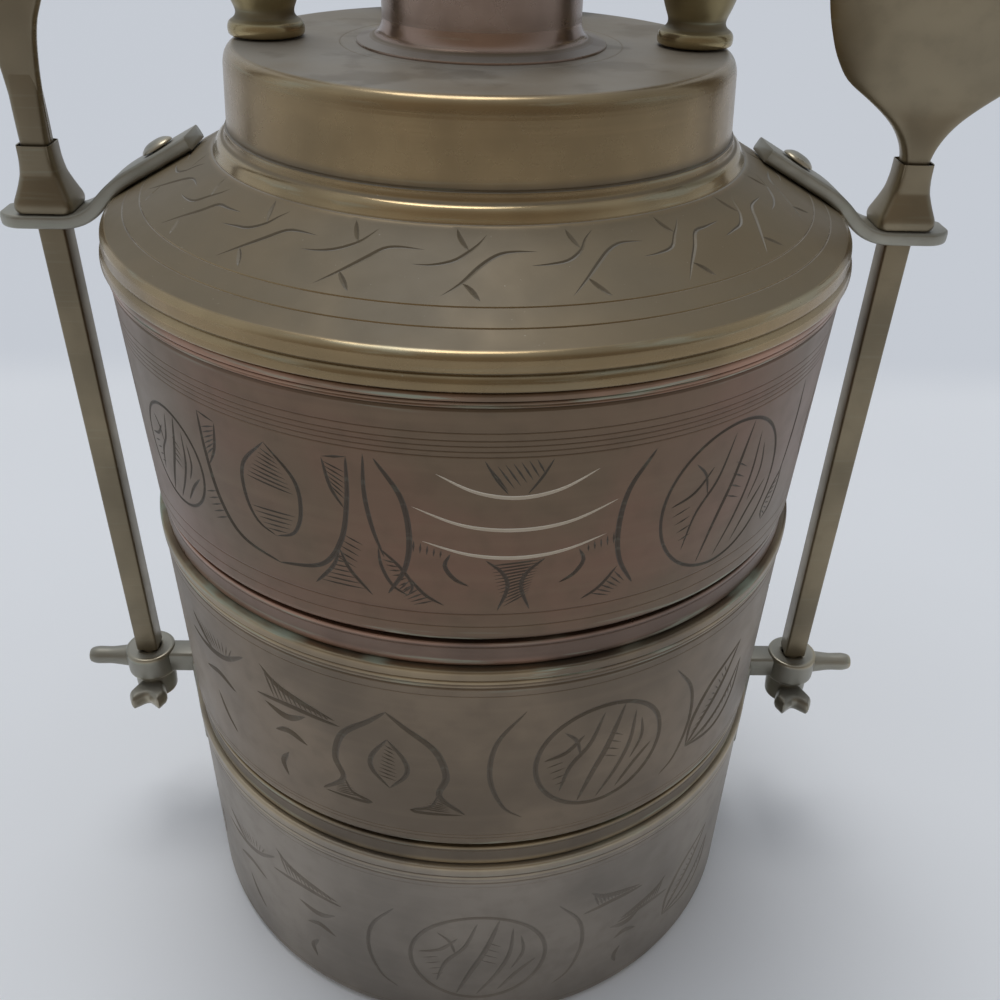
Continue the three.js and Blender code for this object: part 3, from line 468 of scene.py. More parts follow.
def line_gap(points, a, b):
    """Distance from every point to every segment a-b, and how far along the segment the nearest
    place is: the point's share along the segment, held between 0 and 1."""
    leg = b - a
    t = ((points[:, None] - a) * leg).sum(-1) / np.maximum((leg ** 2).sum(-1), 1e-18)
    t = np.clip(t, 0, 1)
    return np.linalg.norm(points[:, None] - a - t[..., None] * leg, axis=-1), t


def within(points, a, b):
    """Whether each point lies within the closed outline of segments a-b: a level ray from it to the
    right meets an odd number of them."""
    x, y = points[:, :1], points[:, 1:2]
    passes = (a[:, 1] > y) != (b[:, 1] > y)
    rise = np.where(a[:, 1] == b[:, 1], 1, b[:, 1] - a[:, 1])
    return (passes & (x < a[:, 0] + (b[:, 0] - a[:, 0]) * (y - a[:, 1]) / rise)).sum(1) % 2 == 1


def stroke(points, width, pointed=0.45, closed=False, step=0.9, dirt_shade_sheen=1.0):
    """A cut along a smooth line through points, in millimetres. Its half width follows a power
    of the sine of the way along, so that both ends are pointed. A dirt_shade_sheen above 0 darkens
    the cut with grime and painted shade, and one below 0 paints it pale as a highlight."""
    line = through(points, step, closed)
    way = np.linspace(0, 1, len(line))
    taper = np.ones(len(line)) if closed else np.maximum(np.sin(np.pi * way), 0.002) ** pointed
    return line, width / 2 * taper, dirt_shade_sheen


def hatching(side_a, side_b, count, width):
    """Straight cuts between points spread evenly along two sides."""
    a, b = np.array(side_a, float), np.array(side_b, float)
    t = (np.arange(count) + 0.5)[:, None] / count
    starts, ends = a[0] + (a[1] - a[0]) * t, b[0] + (b[1] - b[0]) * t
    return [stroke([s, (s + e) / 2, e], width, 0.3, step=2.5) for s, e in zip(starts, ends)]


def placed(strokes, across, up, grown=1.0, mirror=False):
    """The strokes moved, grown and, if asked, mirrored left for right."""
    flip = np.array([-1.0 if mirror else 1.0, 1.0])
    return [(line * flip * grown + (across, up), half, dirt_shade_sheen) for line, half, dirt_shade_sheen in strokes]


def both_sides(strokes):
    """The strokes and their mirror image."""
    return strokes + placed(strokes, 0, 0, mirror=True)


def leaf_roundel(radius, w, h):
    """A ring with a veined leaf in it."""
    r = radius
    ring = [(r * math.cos(a), r * math.sin(a)) for a in np.linspace(0, 2 * np.pi, 16, endpoint=False)]
    veins = [([(-.32, -.9), (-.12, -.35), (.1, .2), (.3, .92)], 1.3),
             ([(-.62, -.6), (-.48, -.1), (-.2, .3), (-.02, .86)], 1),
             ([(-.02, -.92), (.28, -.4), (.46, .1), (.5, .7)], 1),
             ([(-.88, .1), (-.55, .22), (-.3, .5)], 1), ([(.3, -.82), (.58, -.42), (.86, -.12)], 1),
             ([(-.6, .62), (-.42, .42), (-.34, .12)], .8), ([(.62, .5), (.66, .1), (.5, -.3)], .8)]
    cuts = [stroke(ring, w, closed=True)] + [stroke(np.array(vein) * r, w * broad) for vein, broad in veins]
    for sides in ([(-.86, .02), (-.66, -.5), (-.6, .1), (-.5, -.45)],
                  [(.1, .5), (0, -.1), (.34, .34), (.26, -.22)]):
        sides = np.array(sides) * r
        cuts += hatching(sides[:2], sides[2:], 4, h)
    return cuts


def arc_group(w, h):
    """Three long shallow arcs painted pale as highlights, between brackets, with hatched wedges over and
    under.
    """
    arcs = [[(-13.5, 13.2), (-7, 9.9), (0, 8.7), (7, 9.9), (13.5, 13.2)],
            [(-17.6, 6.4), (-9, 3.1), (0, 2.1), (9, 3.1), (17.6, 6.4)],
            [(-16, -.6), (-8, -3), (0, -3.8), (8, -3), (16, -.6)]]
    cuts = [stroke(arc, w * 1.05, .6, dirt_shade_sheen=-1) for arc in arcs]
    side = [stroke([(5.6, 16), (3.8, 12.6), (1.6, 9.4)], w * .7),
            stroke([(5.2, -4.2), (2.2, -7), (1.2, -10.4), (2.9, -15.6)], w * 1.1),
            stroke([(11.2, -3), (12.2, -5.6), (10.6, -8.4), (8, -10)], w * 1.2),
            stroke([(23.6, 15), (19.4, 8), (18.2, 0), (19.2, -7), (22.4, -13)], w * 1.5, .3),
            stroke([(18.9, -8.4), (15.8, -12.4), (12.4, -14.6)], w)]
    side += hatching([(12.2, -2.6), (18, -.4)], [(12.4, -4), (18.2, -3)], 5, h)
    side += hatching([(18.8, -9), (13.6, -14)], [(21, -12), (17.6, -15.2)], 6, h)
    cuts += both_sides(side)
    cuts += hatching([(-5.4, 14.6), (3.4, 16.2)], [(-2.2, 9.8), (4.8, 13.4)], 7, h)
    cuts += hatching([(-4.4, -5), (-1.8, -15)], [(4.6, -4.2), (2.4, -12)], 13, h)
    return cuts


def looped_drop(w, h):
    """A deep U with hatched horns round a hatched drop."""
    side = [stroke([(15.6, 13.4), (15.2, 5), (13.4, -4), (9, -10.4), (0, -13)], w * 1.4, .3),
            stroke([(11.2, 12.8), (15.8, 13.6)], w * .8, step=2),
            stroke([(0, 12.6), (5.4, 6.6), (6, 0), (4, -5), (0, -7)], w * 1.2),
            stroke([(11.2, 12.6), (12.4, 7), (14.6, 3)], w)]
    side += hatching([(11.2, 12.4), (12.4, 7)], [(15.3, 11), (14.9, 4.4)], 6, h)
    side += hatching([(14.4, -2), (11.6, -8)], [(17.6, -3.4), (15.6, -10)], 5, h)
    cuts = both_sides(side)
    cuts += hatching([(-.6, 11.6), (-5.2, 4)], [(1.8, 10.2), (5, 3)], 8, h)
    cuts += hatching([(-5.2, -1.4), (-1.8, -6.4)], [(4.8, -.8), (2.6, -6)], 5, h)
    return cuts


def arch(w, h):
    """Two curves that swing out from a point to hatched feet, round a hatched drop."""
    side = [stroke([(0, 14.6), (3.4, 11.4), (9.6, 5.6), (11.8, -2), (10.4, -8), (15.6, -13.4)], w * 1.4, .35),
            stroke([(10.2, -7.4), (8.6, -11.4), (4.6, -13.4), (15, -13.6)], w * .9),
            stroke([(0, 7), (3.4, 1.6), (3.6, -2.6), (0, -7.4)], w)]
    side += hatching([(9.8, -8.6), (6, -12.6)], [(12, -10.4), (12.6, -13)], 6, h)
    return both_sides(side) + hatching([(-.4, 5.8), (-2.6, -4.4)], [(1.4, 4.6), (1.6, -5.4)], 9, h)


def leaf_foot(w, h):
    """A hatched triangle between two curves that meet at its top."""
    side = [stroke([(0, 5.6), (1.6, 1.4), (5.6, -3.6)], w * 1.1)]
    return both_sides(side) + hatching([(-.4, 4.4), (-4.6, -3)], [(.4, 4.4), (4.6, -3)], 7, h)


def spindle(w, h):
    """A slanting stem that opens into a hatched spindle."""
    cuts = [stroke([(-1.4, 15.6), (-1.6, 8), (-.6, 1), (1.2, -5)], w * 1.2),
            stroke([(.2, -3), (3.8, -6.6), (6, -10.4), (5.2, -13)], w),
            stroke([(.2, -3), (.6, -7), (2.4, -11), (5.2, -13)], w)]
    return cuts + hatching([(.6, -5), (4.4, -12.6)], [(3.2, -5.6), (6, -11)], 7, h)


def wedge_pair(w, h):
    """A hatched wedge hanging from a curve, with a short cut under it."""
    cuts = [stroke([(-11, 9.2), (-4, 8.4), (4, 10), (11, 14.6)], w * 1.4),
            stroke([(-9, 14.8), (-4.6, 11), (-1, 9)], w),
            stroke([(-6, 1.4), (0, 3), (6, 1.4)], w * 1.4),
            stroke([(-2.4, -4), (0, -9), (3.4, -13)], w * 1.1)]
    cuts += hatching([(-7.6, 14.2), (8, 14.2)], [(-2.6, 9.4), (5.8, 11)], 9, h)
    return cuts


def hatched_wedge(w, h):
    """A long wedge shaded by slanting cuts, over a level cut."""
    cuts = [stroke([(-10, -1), (0, 0), (11, -.6)], w * 1.2),
            stroke([(-8, 8), (-3, 4), (10, .6)], w * 1.6, .7)]
    return cuts + hatching([(-7.6, 7), (8, 1)], [(-5.4, .2), (9, .2)], 12, h * 1.3)


def crescents(w):
    """Three short curved cuts, one under the other."""
    return [stroke([(-6, 8.6), (0, 7.2), (5, 9.6)], w * 1.7, .8),
            stroke([(-4, 1.4), (0, 3), (4.6, 1)], w * 1.6, .8),
            stroke([(-1, -4), (-3, -8), (-2, -12)], w * 1.4, .7)]


def leaf_spray(w, h):
    """Two broad leaves slanting up from one stem, each shaded along one side."""
    cuts = [stroke([(-9, -12), (-4, -6), (3, 2), (9, 12)], w * 1.3),
            stroke([(-9, -12), (-8, -3), (-2, 6), (9, 12)], w * 1.3),
            stroke([(-9, -12), (0, -9.4), (7, -4), (12, 4)], w * 1.2),
            stroke([(-9, -12), (3, -13), (10.4, -7), (12, 4)], w * 1.2)]
    cuts += hatching([(-8, -9), (3, 8.6)], [(-5.6, -7.6), (4.6, 5)], 11, h)
    return cuts + hatching([(-3, -12.2), (10.6, -5)], [(-1.6, -10.4), (9.4, -2)], 10, h)


def scroll_unit(w, rng, run, rise):
    """One turn of a running scroll, drawn 20 mm long and 14.2 mm high by a hand that wanders 0.16 mm:
    a forked stem from above and a crossed stem from below."""
    x, y = run / 20, rise / 14.2
    jog = lambda points: np.array(points) * (x, y) + rng.normal(0, .16, (len(points), 2))
    stems = [([(3.6, 13.4), (1.9, 11.4), (.2, 9.4), (-2.4, 7.6), (-5.6, 6.7), (-9.2, 6.6)], 1, .8),
             ([(-1.8, 14.2), (-1, 12.2), (.4, 9.8)], 1.3, .7),
             ([(-3.6, .1), (-.6, 3.2), (2.6, 6.6), (5.4, 8.9), (8.4, 9.7), (12.6, 9.6)], 1.15, .8),
             ([(2.4, -.4), (.9, 1.6), (-.5, 3.4)], 1.3, .7)]
    return [stroke(jog(points), w * broad, pointed) for points, broad, pointed in stems]


def split_at(chain, across):
    """The chain with a point added wherever it passes the given place across."""
    off = chain[:, 0] - across
    passing = np.flatnonzero(off[:-1] * off[1:] < 0)
    share_of = (off[passing] / (off[passing] - off[passing + 1]))[:, None]
    new = chain[passing] * (1 - share_of) + chain[passing + 1] * share_of
    new[:, 0] = across
    return np.insert(chain, passing + 1, new, axis=0)


def engraved(cuts, wide, tall, columns, rows, slope):
    """Flat triangles over a panel that is wide by tall, in millimetres, split along both edges and
    the middle of every cut by constrained Delaunay triangulation. The depth of a point is the most
    that any cut gives it: slope times (half width - distance to its middle line). A cut that leaves
    at one side comes in at the other, so that copies of the panel join."""
    margin = 0.06  # mm that a cut keeps from the panel's top and foot
    clear = 0.35  # mm from a cut to the nearest lattice point
    fade = 0.2  # mm over which a cut runs out at the panel's top and foot
    batch = 1500  # points measured at a time, to spare memory
    chains, at, points, edges = [], 0, [], []
    for line, half, dirt_shade_sheen in cuts:
        leg = np.gradient(line, axis=0)
        side = np.stack([-leg[:, 1], leg[:, 0]], 1) / np.maximum(np.hypot(*leg.T), 1e-9)[:, None]
        side = side * half[:, None]
        for shift in (-wide, 0, wide):
            here = line + (shift, 0)
            if np.abs(here[:, 0]).min() > wide / 2 + 3:  # this copy lies clear of the panel
                continue
            for chain in (here - side, here, here + side):
                chain = split_at(split_at(chain, -wide / 2), wide / 2)
                chain[:, 1] = np.clip(chain[:, 1], margin, tall - margin)
                index = at + np.arange(len(chain))
                on_panel = np.abs(chain[:, 0]) <= wide / 2 + 1e-9
                both = on_panel[:-1] & on_panel[1:]
                edges.append(np.stack([index[:-1][both], index[1:][both]], 1))
                points.append(np.where(on_panel[:, None], chain, (0, tall)))
                at += len(chain)
            chains.append((here[:-1], here[1:], half[:-1], half[1:], np.full(len(here) - 1, dirt_shade_sheen)))
    a, b, wa, wb, dirt_shade_sheens = (np.concatenate(x) for x in zip(*chains))

    def depth(places):
        """How far inside the widest-reaching cut each place lies, and that cut's dirt_shade_sheen: grime and
        painted shade above 0, a painted highlight below.
        """
        found, which = np.zeros(len(places)), np.zeros(len(places), int)
        for start in range(0, len(places), batch):
            some = slice(start, start + batch)
            gap, t = line_gap(places[some], a, b)
            under = wa + (wb - wa) * t - gap
            found[some], which[some] = under.max(1), under.argmax(1)
        return found, dirt_shade_sheens[which]

    u, v = np.linspace(-wide / 2, wide / 2, columns + 1), np.linspace(0, tall, rows + 1)
    lattice = np.stack(np.meshgrid(u, v), -1).reshape(-1, 2)
    inner = ((lattice > (u[0], v[0])) & (lattice < (u[-1], v[-1]))).all(1)
    keep = ~inner
    keep[inner] = depth(lattice[inner])[0] < -clear
    points.append(lattice[keep])
    everything = np.concatenate(points)
    flat, _, faces, *_ = delaunay_2d_cdt(
        [Vector(p) for p in everything.tolist()], np.concatenate(edges).tolist(), [], 0, 1e-5, False)
    flat, faces = np.array(flat), np.array(faces)
    corner = flat[faces]
    area = np.cross(corner[:, 1] - corner[:, 0], corner[:, 2] - corner[:, 0])
    faces = faces[area > 1e-7]
    down = np.maximum(depth(flat)[0], 0) * np.clip(np.minimum(flat[:, 1], tall - flat[:, 1]) / fade, 0, 1)
    under, fill = depth(flat[faces].mean(1))
    return flat, faces, np.where(down > 0.012, down, 0) * slope * MM, np.where(under > 0.004, fill, 0)


def wrapped(panel, low, high, repeats, start):
    """The panel laid round a cone from radius and height low to high: across becomes the angle, up
    the way along the slant, and depth is taken off along the normal. Repeats are turned copies."""
    flat, faces, depth, cut = panel
    wide = flat[:, 0].max() - flat[:, 0].min()
    slant = high - low
    normal = np.array([slant[1], -slant[0]]) / np.hypot(*slant)
    way = flat[:, 1:] / flat[:, 1].max()
    line = low + slant * way - normal * depth[:, None]
    parts = []
    for turn in range(repeats):
        angle = (flat[:, 0] / wide + turn) * 2 * np.pi / repeats + start
        points = np.stack([line[:, 0] * np.cos(angle), line[:, 0] * np.sin(angle), line[:, 1]], 1)
        parts.append(SimpleNamespace(points=points, faces=faces, worn=np.zeros(len(points)), cut=cut,
                                     lean=np.tile(normal, (len(faces), 1))))
    return parts


def notched(low, high, places, width=0.28 * MM, depth=0.09 * MM):
    """A straight profile line with fine turned V-grooves at the given heights."""
    slant = high - low
    normal = np.array([slant[1], -slant[0]]) / np.hypot(*slant)
    points = [low]
    for place in places:
        middle = low + slant * (place - low[1]) / slant[1]
        step = slant / np.hypot(*slant) * width / 2
        points += [middle - step, middle - normal * depth, middle + step]
    return np.array(points + [high])


def make_piece(name, shells, material, body, nodes):
    """One mesh from shells: points that share a place are made one, faces without area go, and a
    mesh whose signed volume is negative is turned the right way out. Round an engraved panel the
    wall keeps its cone's own normals, and each face of a cut is shaded flat."""
    counts = np.cumsum([0] + [len(s.points) for s in shells])
    points = np.concatenate([s.points for s in shells])
    faces = np.concatenate([s.faces + start for s, start in zip(shells, counts)])
    worn, cut, lean = (np.concatenate([getattr(s, key) for s in shells]) for key in ("worn", "cut", "lean"))
    _, first, same = np.unique(
        np.round(points / WELD).astype(np.int64), axis=0, return_index=True, return_inverse=True)
    faces, points = same.ravel()[faces], points[first]
    whole = (faces[:, 0] != faces[:, 1]) & (faces[:, 1] != faces[:, 2]) & (faces[:, 2] != faces[:, 0])
    faces, cut, lean = faces[whole], cut[whole], lean[whole]
    a, b, c = (points[faces[:, k]] for k in range(3))
    if np.einsum("ij,ij->i", a, np.cross(b, c)).sum() < 0:
        faces = faces[:, ::-1]
    mesh = bpy.data.meshes.new(name)
    mesh.vertices.add(len(points))
    mesh.vertices.foreach_set("co", points.astype(np.float32).ravel())
    mesh.loops.add(faces.size)
    mesh.loops.foreach_set("vertex_index", np.ascontiguousarray(faces, np.int32).ravel())
    mesh.polygons.add(len(faces))
    mesh.polygons.foreach_set("loop_start", np.arange(0, faces.size, 3, dtype=np.int32))
    mesh.polygons.foreach_set("use_smooth", np.ones(len(faces), bool))
    mesh.update(calc_edges=True)
    for key, domain, values in (("worn", "POINT", worn[first]), ("cut", "CORNER", np.repeat(cut, 3))):
        mesh.attributes.new(key, "FLOAT", domain).data.foreach_set("value", values.astype(np.float32))
    mesh.set_sharp_from_angle(angle=SHARP)
    flat = cut != 0
    if flat.any():
        normals = np.zeros(faces.size * 3, np.float32)
        mesh.corner_normals.foreach_get("vector", normals)
        normals = normals.reshape(-1, 3, 3)
        wall = np.hypot(*lean.T) > 0
        around = points[faces[wall]][..., :2]
        around = around / np.linalg.norm(around, axis=-1, keepdims=True)
        normals[wall, :, :2] = around * lean[wall][:, None, :1]
        normals[wall, :, 2] = lean[wall][:, 1:]
        a, b, c = (points[faces[flat, k]] for k in range(3))
        facing = np.cross(b - a, c - a)
        facing /= np.maximum(np.linalg.norm(facing, axis=1, keepdims=True), 1e-20)
        normals[flat] = facing[:, None]
        mesh.normals_split_custom_set(normals.reshape(-1, 3).tolist())
    mesh.materials.append(material)
    piece = bpy.data.objects.new(name, mesh)
    bpy.context.scene.collection.objects.link(piece)
    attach(piece, body)
    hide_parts(*nodes)
    return piece


def padded_plate(outline, thickness, edge, step):
    """A plate in x and y over a closed outline, counter-clockwise. Its half thickness at a point is
    half the thickness times the height of a quarter circle over the distance in from the outline."""
    line = spaced(np.concatenate([outline, outline[:1]]), step)[:-1]
    after = np.roll(line, -1, axis=0)
    run = after - np.roll(line, 1, axis=0)
    inward = np.stack([-run[:, 1], run[:, 0]], 1) / np.hypot(*run.T)[:, None]
    shares = (0.08, 0.3, 0.62, 1.0)  # rings of points across the rounded edge
    rings = [line + inward * edge * k for k in shares]
    low, high = line.min(0), line.max(0)
    lattice = np.meshgrid(*(np.arange(a, b, step) for a, b in zip(low, high)))
    lattice = np.stack(lattice, -1).reshape(-1, 2)
    gaps = [edge * k * 0.93 for k in shares] + [edge + step * 0.4]
    kept = [line]
    for ring, gap in zip(rings + [lattice], gaps):
        kept.append(ring[(line_gap(ring, line, after)[0].min(1) > gap) & within(ring, line, after)])
    points = np.concatenate(kept)
    count = len(line)
    edges = np.stack([np.arange(count), (np.arange(count) + 1) % count], 1)
    flat, _, faces, *_ = delaunay_2d_cdt(
        [Vector(p) for p in points.tolist()], edges.tolist(), [list(range(count))], 1, 1e-9, False)
    flat, faces = np.array(flat), np.array(faces)
    faces = faces[within(flat[faces].mean(1), line, after)]
    gap = line_gap(flat, line, after)[0].min(1)
    rise = np.clip(gap / edge, 0, 1)
    half = thickness / 2 * np.sqrt(np.maximum(1 - (1 - rise) ** 2, 0))
    sheets = []
    for side in (1, -1):
        sheets.append(SimpleNamespace(
            points=np.concatenate([flat, side * half[:, None]], 1), faces=faces[:, ::side],
            worn=(1 - rise) * 0.7, cut=np.zeros(len(faces)), lean=np.zeros((len(faces), 2))))
    return sheets


def add_node(tree, kind, inputs=(), out=0, **settings):
    """Adds a node with its settings and gives back one of its outputs. An input, by its name or in
    the node's own order, is given a value or the output that it is linked to."""
    made = tree.nodes.new(f"ShaderNode{kind}")
    for key, value in settings.items():
        setattr(made, key, value)
    for key, value in inputs.items() if isinstance(inputs, dict) else enumerate(inputs):
        socket = made.inputs[key]
        if isinstance(value, bpy.types.NodeSocket):
            tree.links.new(value, socket)
        else:
            socket.default_value = (*value, 1.0) if socket.type == "RGBA" else value
    return made.outputs[out] if made.outputs else None


# Settings of the nodes that are used most
TIMES, PLUS, MINUS, LARGER, SIZE_OF, TIMES_PLUS = (
    {"operation": word} for word in ("MULTIPLY", "ADD", "SUBTRACT", "MAXIMUM", "ABSOLUTE", "MULTIPLY_ADD"))
EASED = {"interpolation_type": "SMOOTHSTEP"}  # a range turned into another, eased at both ends
COLOURS = {"data_type": "RGBA", "out": 2}  # colour 6 turned into colour 7 by share 0

# The metal's patterns: how wide one patch is across and up in millimetres, and its octaves
PATTERNS = {
    "blotches": (33.333, 33.333, 3),  # clouds of tone
    "mottling": (4.5455, 4.5455, 5),  # the film's uneven patches
    "smudges": (13.333, 13.333, 4),  # dark smudges on what faces up
    "specks": (0.45455, 0.45455, 2),  # dust, drawn coarser than real dust so that it shows
    "marks": (71.43, 0.41667, 3),  # turning marks: real ones are about 0.1 mm apart, too fine to show
    "bands": (100, 2.38095, 4),  # broader bands left by the turning
    "salts": (22.222, 1.1111, 3),  # green salts, drawn out along a seam
}


def aged_metal(finish, name, colour, bright, polish, haze, turned, green, blush=None):
    """Patinated copper alloy. Blotches shift its tone, turned marks run round it, rubbed edges are
    bright, some crests, bands and cuts are painted pale as highlights, corners and cuts are darkened
    by grime and painted shade and hold verdigris, and a dusty film dulls what faces up."""
    colour, bright = getattr(finish, colour), getattr(finish, bright)
    blush = getattr(finish, blush) if blush else None
    material = bpy.data.materials.new(name)
    material.use_nodes = True
    tree = material.node_tree
    tree.nodes.clear()
    add = partial(add_node, tree)
    place = add("TexCoord", out="Object")
    noise = {}
    for pattern, (across, up, octaves) in PATTERNS.items():
        scale = [1 / (width * MM) for width in (across, across, up)]
        spread = add("Mapping", {"Vector": place, "Scale": scale})
        noise[pattern] = add("TexNoise", {"Vector": spread, "Scale": 1.0, "Detail": octaves})
    worn = add("Attribute", out="Fac", attribute_name="worn")
    cut = add("Attribute", out="Fac", attribute_name="cut")
    facing = add("SeparateXYZ", [add("NewGeometry", out="Normal")], out="Z")

    # The oxide: clouds of tone, darker patches and paler turned bands
    dark, light, pale = ([min(c * k, 1) for c in colour] for k in (0.78, 1.15, 1.4))
    cloudy = add("MapRange", [noise["blotches"], 0.34, 0.66], **EASED)
    tone = add("Mix", {0: cloudy, 6: colour if blush else dark, 7: blush or light}, **COLOURS)
    patchy = add("MapRange", [noise["mottling"], 0.45, 0.72, 0, 0.3], **EASED)
    tone = add("Mix", {0: patchy, 6: tone, 7: dark}, **COLOURS)
    banded = add("MapRange", [noise["bands"], 0.45, 0.75, 0, turned * 0.4], **EASED)
    tone = add("Mix", {0: banded, 6: tone, 7: pale}, **COLOURS)

    # Rubbed edges are bright; some crests and bands take the same colour as a painted highlight, and the
    # bright cuts are painted pale as highlights
    rubbed_and_sheen = add("Math", [add("MapRange", [worn, 0.15, 1, 0, 0.45], **EASED),
                          add("MapRange", [noise["blotches"], 0.3, 0.65], **EASED)], **TIMES)
    tone = add("Mix", {0: rubbed_and_sheen, 6: tone, 7: bright}, **COLOURS)
    bare_cut_sheen = add("MapRange", [add("Math", [cut, -1], **TIMES), 0.3, 0.9], **EASED)
    tone = add("Mix", {0: bare_cut_sheen, 6: tone, 7: finish.bare_cut_highlight}, **COLOURS)

    # Corners and cuts are darkened: grime, and painted shade in the hollows; green salts sit along the seams
    hidden = add("MapRange", [add("Math", [worn, -1], **TIMES), 0.05, 0.6, 0, 0.7], **EASED)
    crevice = add("Math", [hidden, add("MapRange", [cut, 0.1, 1], **EASED)], **LARGER)
    grime_and_shade_share = add("Math", [crevice, 0.7], **TIMES)
    tone = add("Mix", {0: grime_and_shade_share, 6: tone, 7: finish.grime_and_shade}, **COLOURS)
    seam = add("MapRange", [add("Math", [worn], **SIZE_OF), 0.08, 0.5], **EASED)
    seam = add("Math", [seam, add("Math", [crevice, 0.15], **TIMES)], **LARGER)
    salts = add("MapRange", [noise["salts"], 0.55, 0.7, 0, green], **EASED)
    salts = add("Math", [salts, seam], **TIMES)
    tone = add("Mix", {0: salts, 6: tone, 7: finish.verdigris}, **COLOURS)

    # A film dulls what faces up: brown on the slopes, grey with dark smudges on the level, with flecks
    film = add("Math", [add("MapRange", [noise["blotches"], 0.38, 0.62, 0.6, 0.95], **EASED),
                        add("MapRange", [facing, 0.5, 0.88, 0, haze], **EASED)], **TIMES)
    film = add("Math", [film, add("MapRange", [worn, 0.2, 0.7, 1, 0], **EASED)], **TIMES)
    smudges = add("MapRange", [noise["smudges"], 0.52, 0.64, 0, 0.4], **EASED)
    dusty = add("Mix", {0: smudges, 6: finish.dust, 7: finish.grime_and_shade}, **COLOURS)
    level = add("MapRange", [facing, 0.9, 0.98], **EASED)
    dusty = add("Mix", {0: level, 6: finish.oxide, 7: dusty}, **COLOURS)
    tone = add("Mix", {0: film, 6: tone, 7: dusty}, **COLOURS)
    flecks = add("Math", [add("MapRange", [noise["specks"], 0.75, 0.78, 0, 0.6], **EASED),
                          add("MapRange", [facing, -0.2, 0.5, 0, haze], **EASED)], **TIMES)
    tone = add("Mix", {0: flecks, 6: tone, 7: finish.fleck}, **COLOURS)

    # What lies on the metal is less metallic and rougher than it, and rubbed edges are smoother
    dull = add("Math", [film, add("Math", [salts, grime_and_shade_share], **LARGER)], **LARGER)
    metallic = add("Math", [dull, -0.7, 0.8], **TIMES_PLUS)
    rough = add("Math", [noise["mottling"], 0.16, polish - 0.08], **TIMES_PLUS)
    rough = add("Math", [dull, 0.42, rough], **TIMES_PLUS)
    rough = add("Math", [rough, add("MapRange", [worn, 0.1, 0.8, 0, 0.12], **EASED)], **MINUS)
    relief = add("Math", [add("Math", [noise["marks"], turned], **TIMES),
                          add("Math", [noise["mottling"], 0.1], **TIMES)], **PLUS)
    bump = add("Bump", {"Strength": 0.15, "Distance": 0.1 * MM, "Height": relief})
    shader = add("BsdfPrincipled", {"Base Color": tone, "Metallic": metallic, "Roughness": rough,
                                    "Normal": bump, "Coat Weight": 0.25, "Coat Roughness": 0.4})
    add("OutputMaterial", {"Surface": shader})
    return material


# Each metal: its name, its colour and that of its rubbed edges and painted highlights in Finishes,
# how rough it is when clean, and how much haze, turned marks and green salts it shows
METALS = {
    # Chased brass, kept in a kitchen: grey-olive oxide, almost no shine left
    "bottom_bowl_brass": dict(name="chased_brass_grey", colour="bottom", bright="worn",
        polish=0.5, haze=0.5, turned=0.25, green=0.35),
    # Chased brass: olive-brown oxide, a soft shine and green salts under the mouth
    "middle_bowl_brass": dict(name="chased_brass_olive", colour="middle", bright="worn",
        polish=0.46, haze=0.4, turned=0.35, green=1.0),
    # Chased copper alloy: warm brown with a reddish blush and fine turning marks
    "top_bowl_bronze": dict(name="chased_copper_alloy", colour="top", bright="worn_copper",
        polish=0.42, haze=0.35, turned=0.6, green=0.7, blush="blush"),
    # Turned copper: reddish, bright where it is rubbed
    "copper": dict(name="turned_copper", colour="copper", bright="worn_copper",
        polish=0.28, haze=0.85, turned=0.4, green=0.15),
    # Plain copper band, never polished: brown, with grime along its edges
    "copper_band": dict(name="tarnished_copper", colour="band", bright="worn_copper",
        polish=0.42, haze=0.6, turned=0.5, green=0.6),
    # Brass inside the joints: tarnished and dull, and on the recessed band under the middle bowl darker still
    # as painted shade
    "dark_brass": dict(name="tarnished_brass", colour="joints", bright="worn",
        polish=0.5, haze=0.3, turned=0.3, green=0.6),
    # Spun brass: golden brown, turned marks, dusty where it faces up
    "lid_brass": dict(name="spun_brass", colour="lid", bright="worn",
        polish=0.28, haze=0.95, turned=0.5, green=0.3),
    # Turned brass, handled: yellow high places over dark hollows
    "fitting_brass": dict(name="turned_brass", colour="fitting", bright="worn",
        polish=0.34, haze=0.4, turned=0.2, green=0.4),
    # Cast and filed brass: dull olive
    "strap_brass": dict(name="filed_brass", colour="strap", bright="worn",
        polish=0.42, haze=0.35, turned=0.0, green=0.4),
    # Forged brass: smooth and rubbed by hands
    "cutlery_brass": dict(name="forged_brass", colour="cutlery", bright="worn",
        polish=0.38, haze=0.4, turned=0.0, green=0.2),
}


def finish_of(key):
    """The material of one metal, made when it is first asked for."""
    metal = METALS[key]
    return bpy.data.materials.get(metal["name"]) or aged_metal(bpy.context.scene.carrier_finishes, **metal)


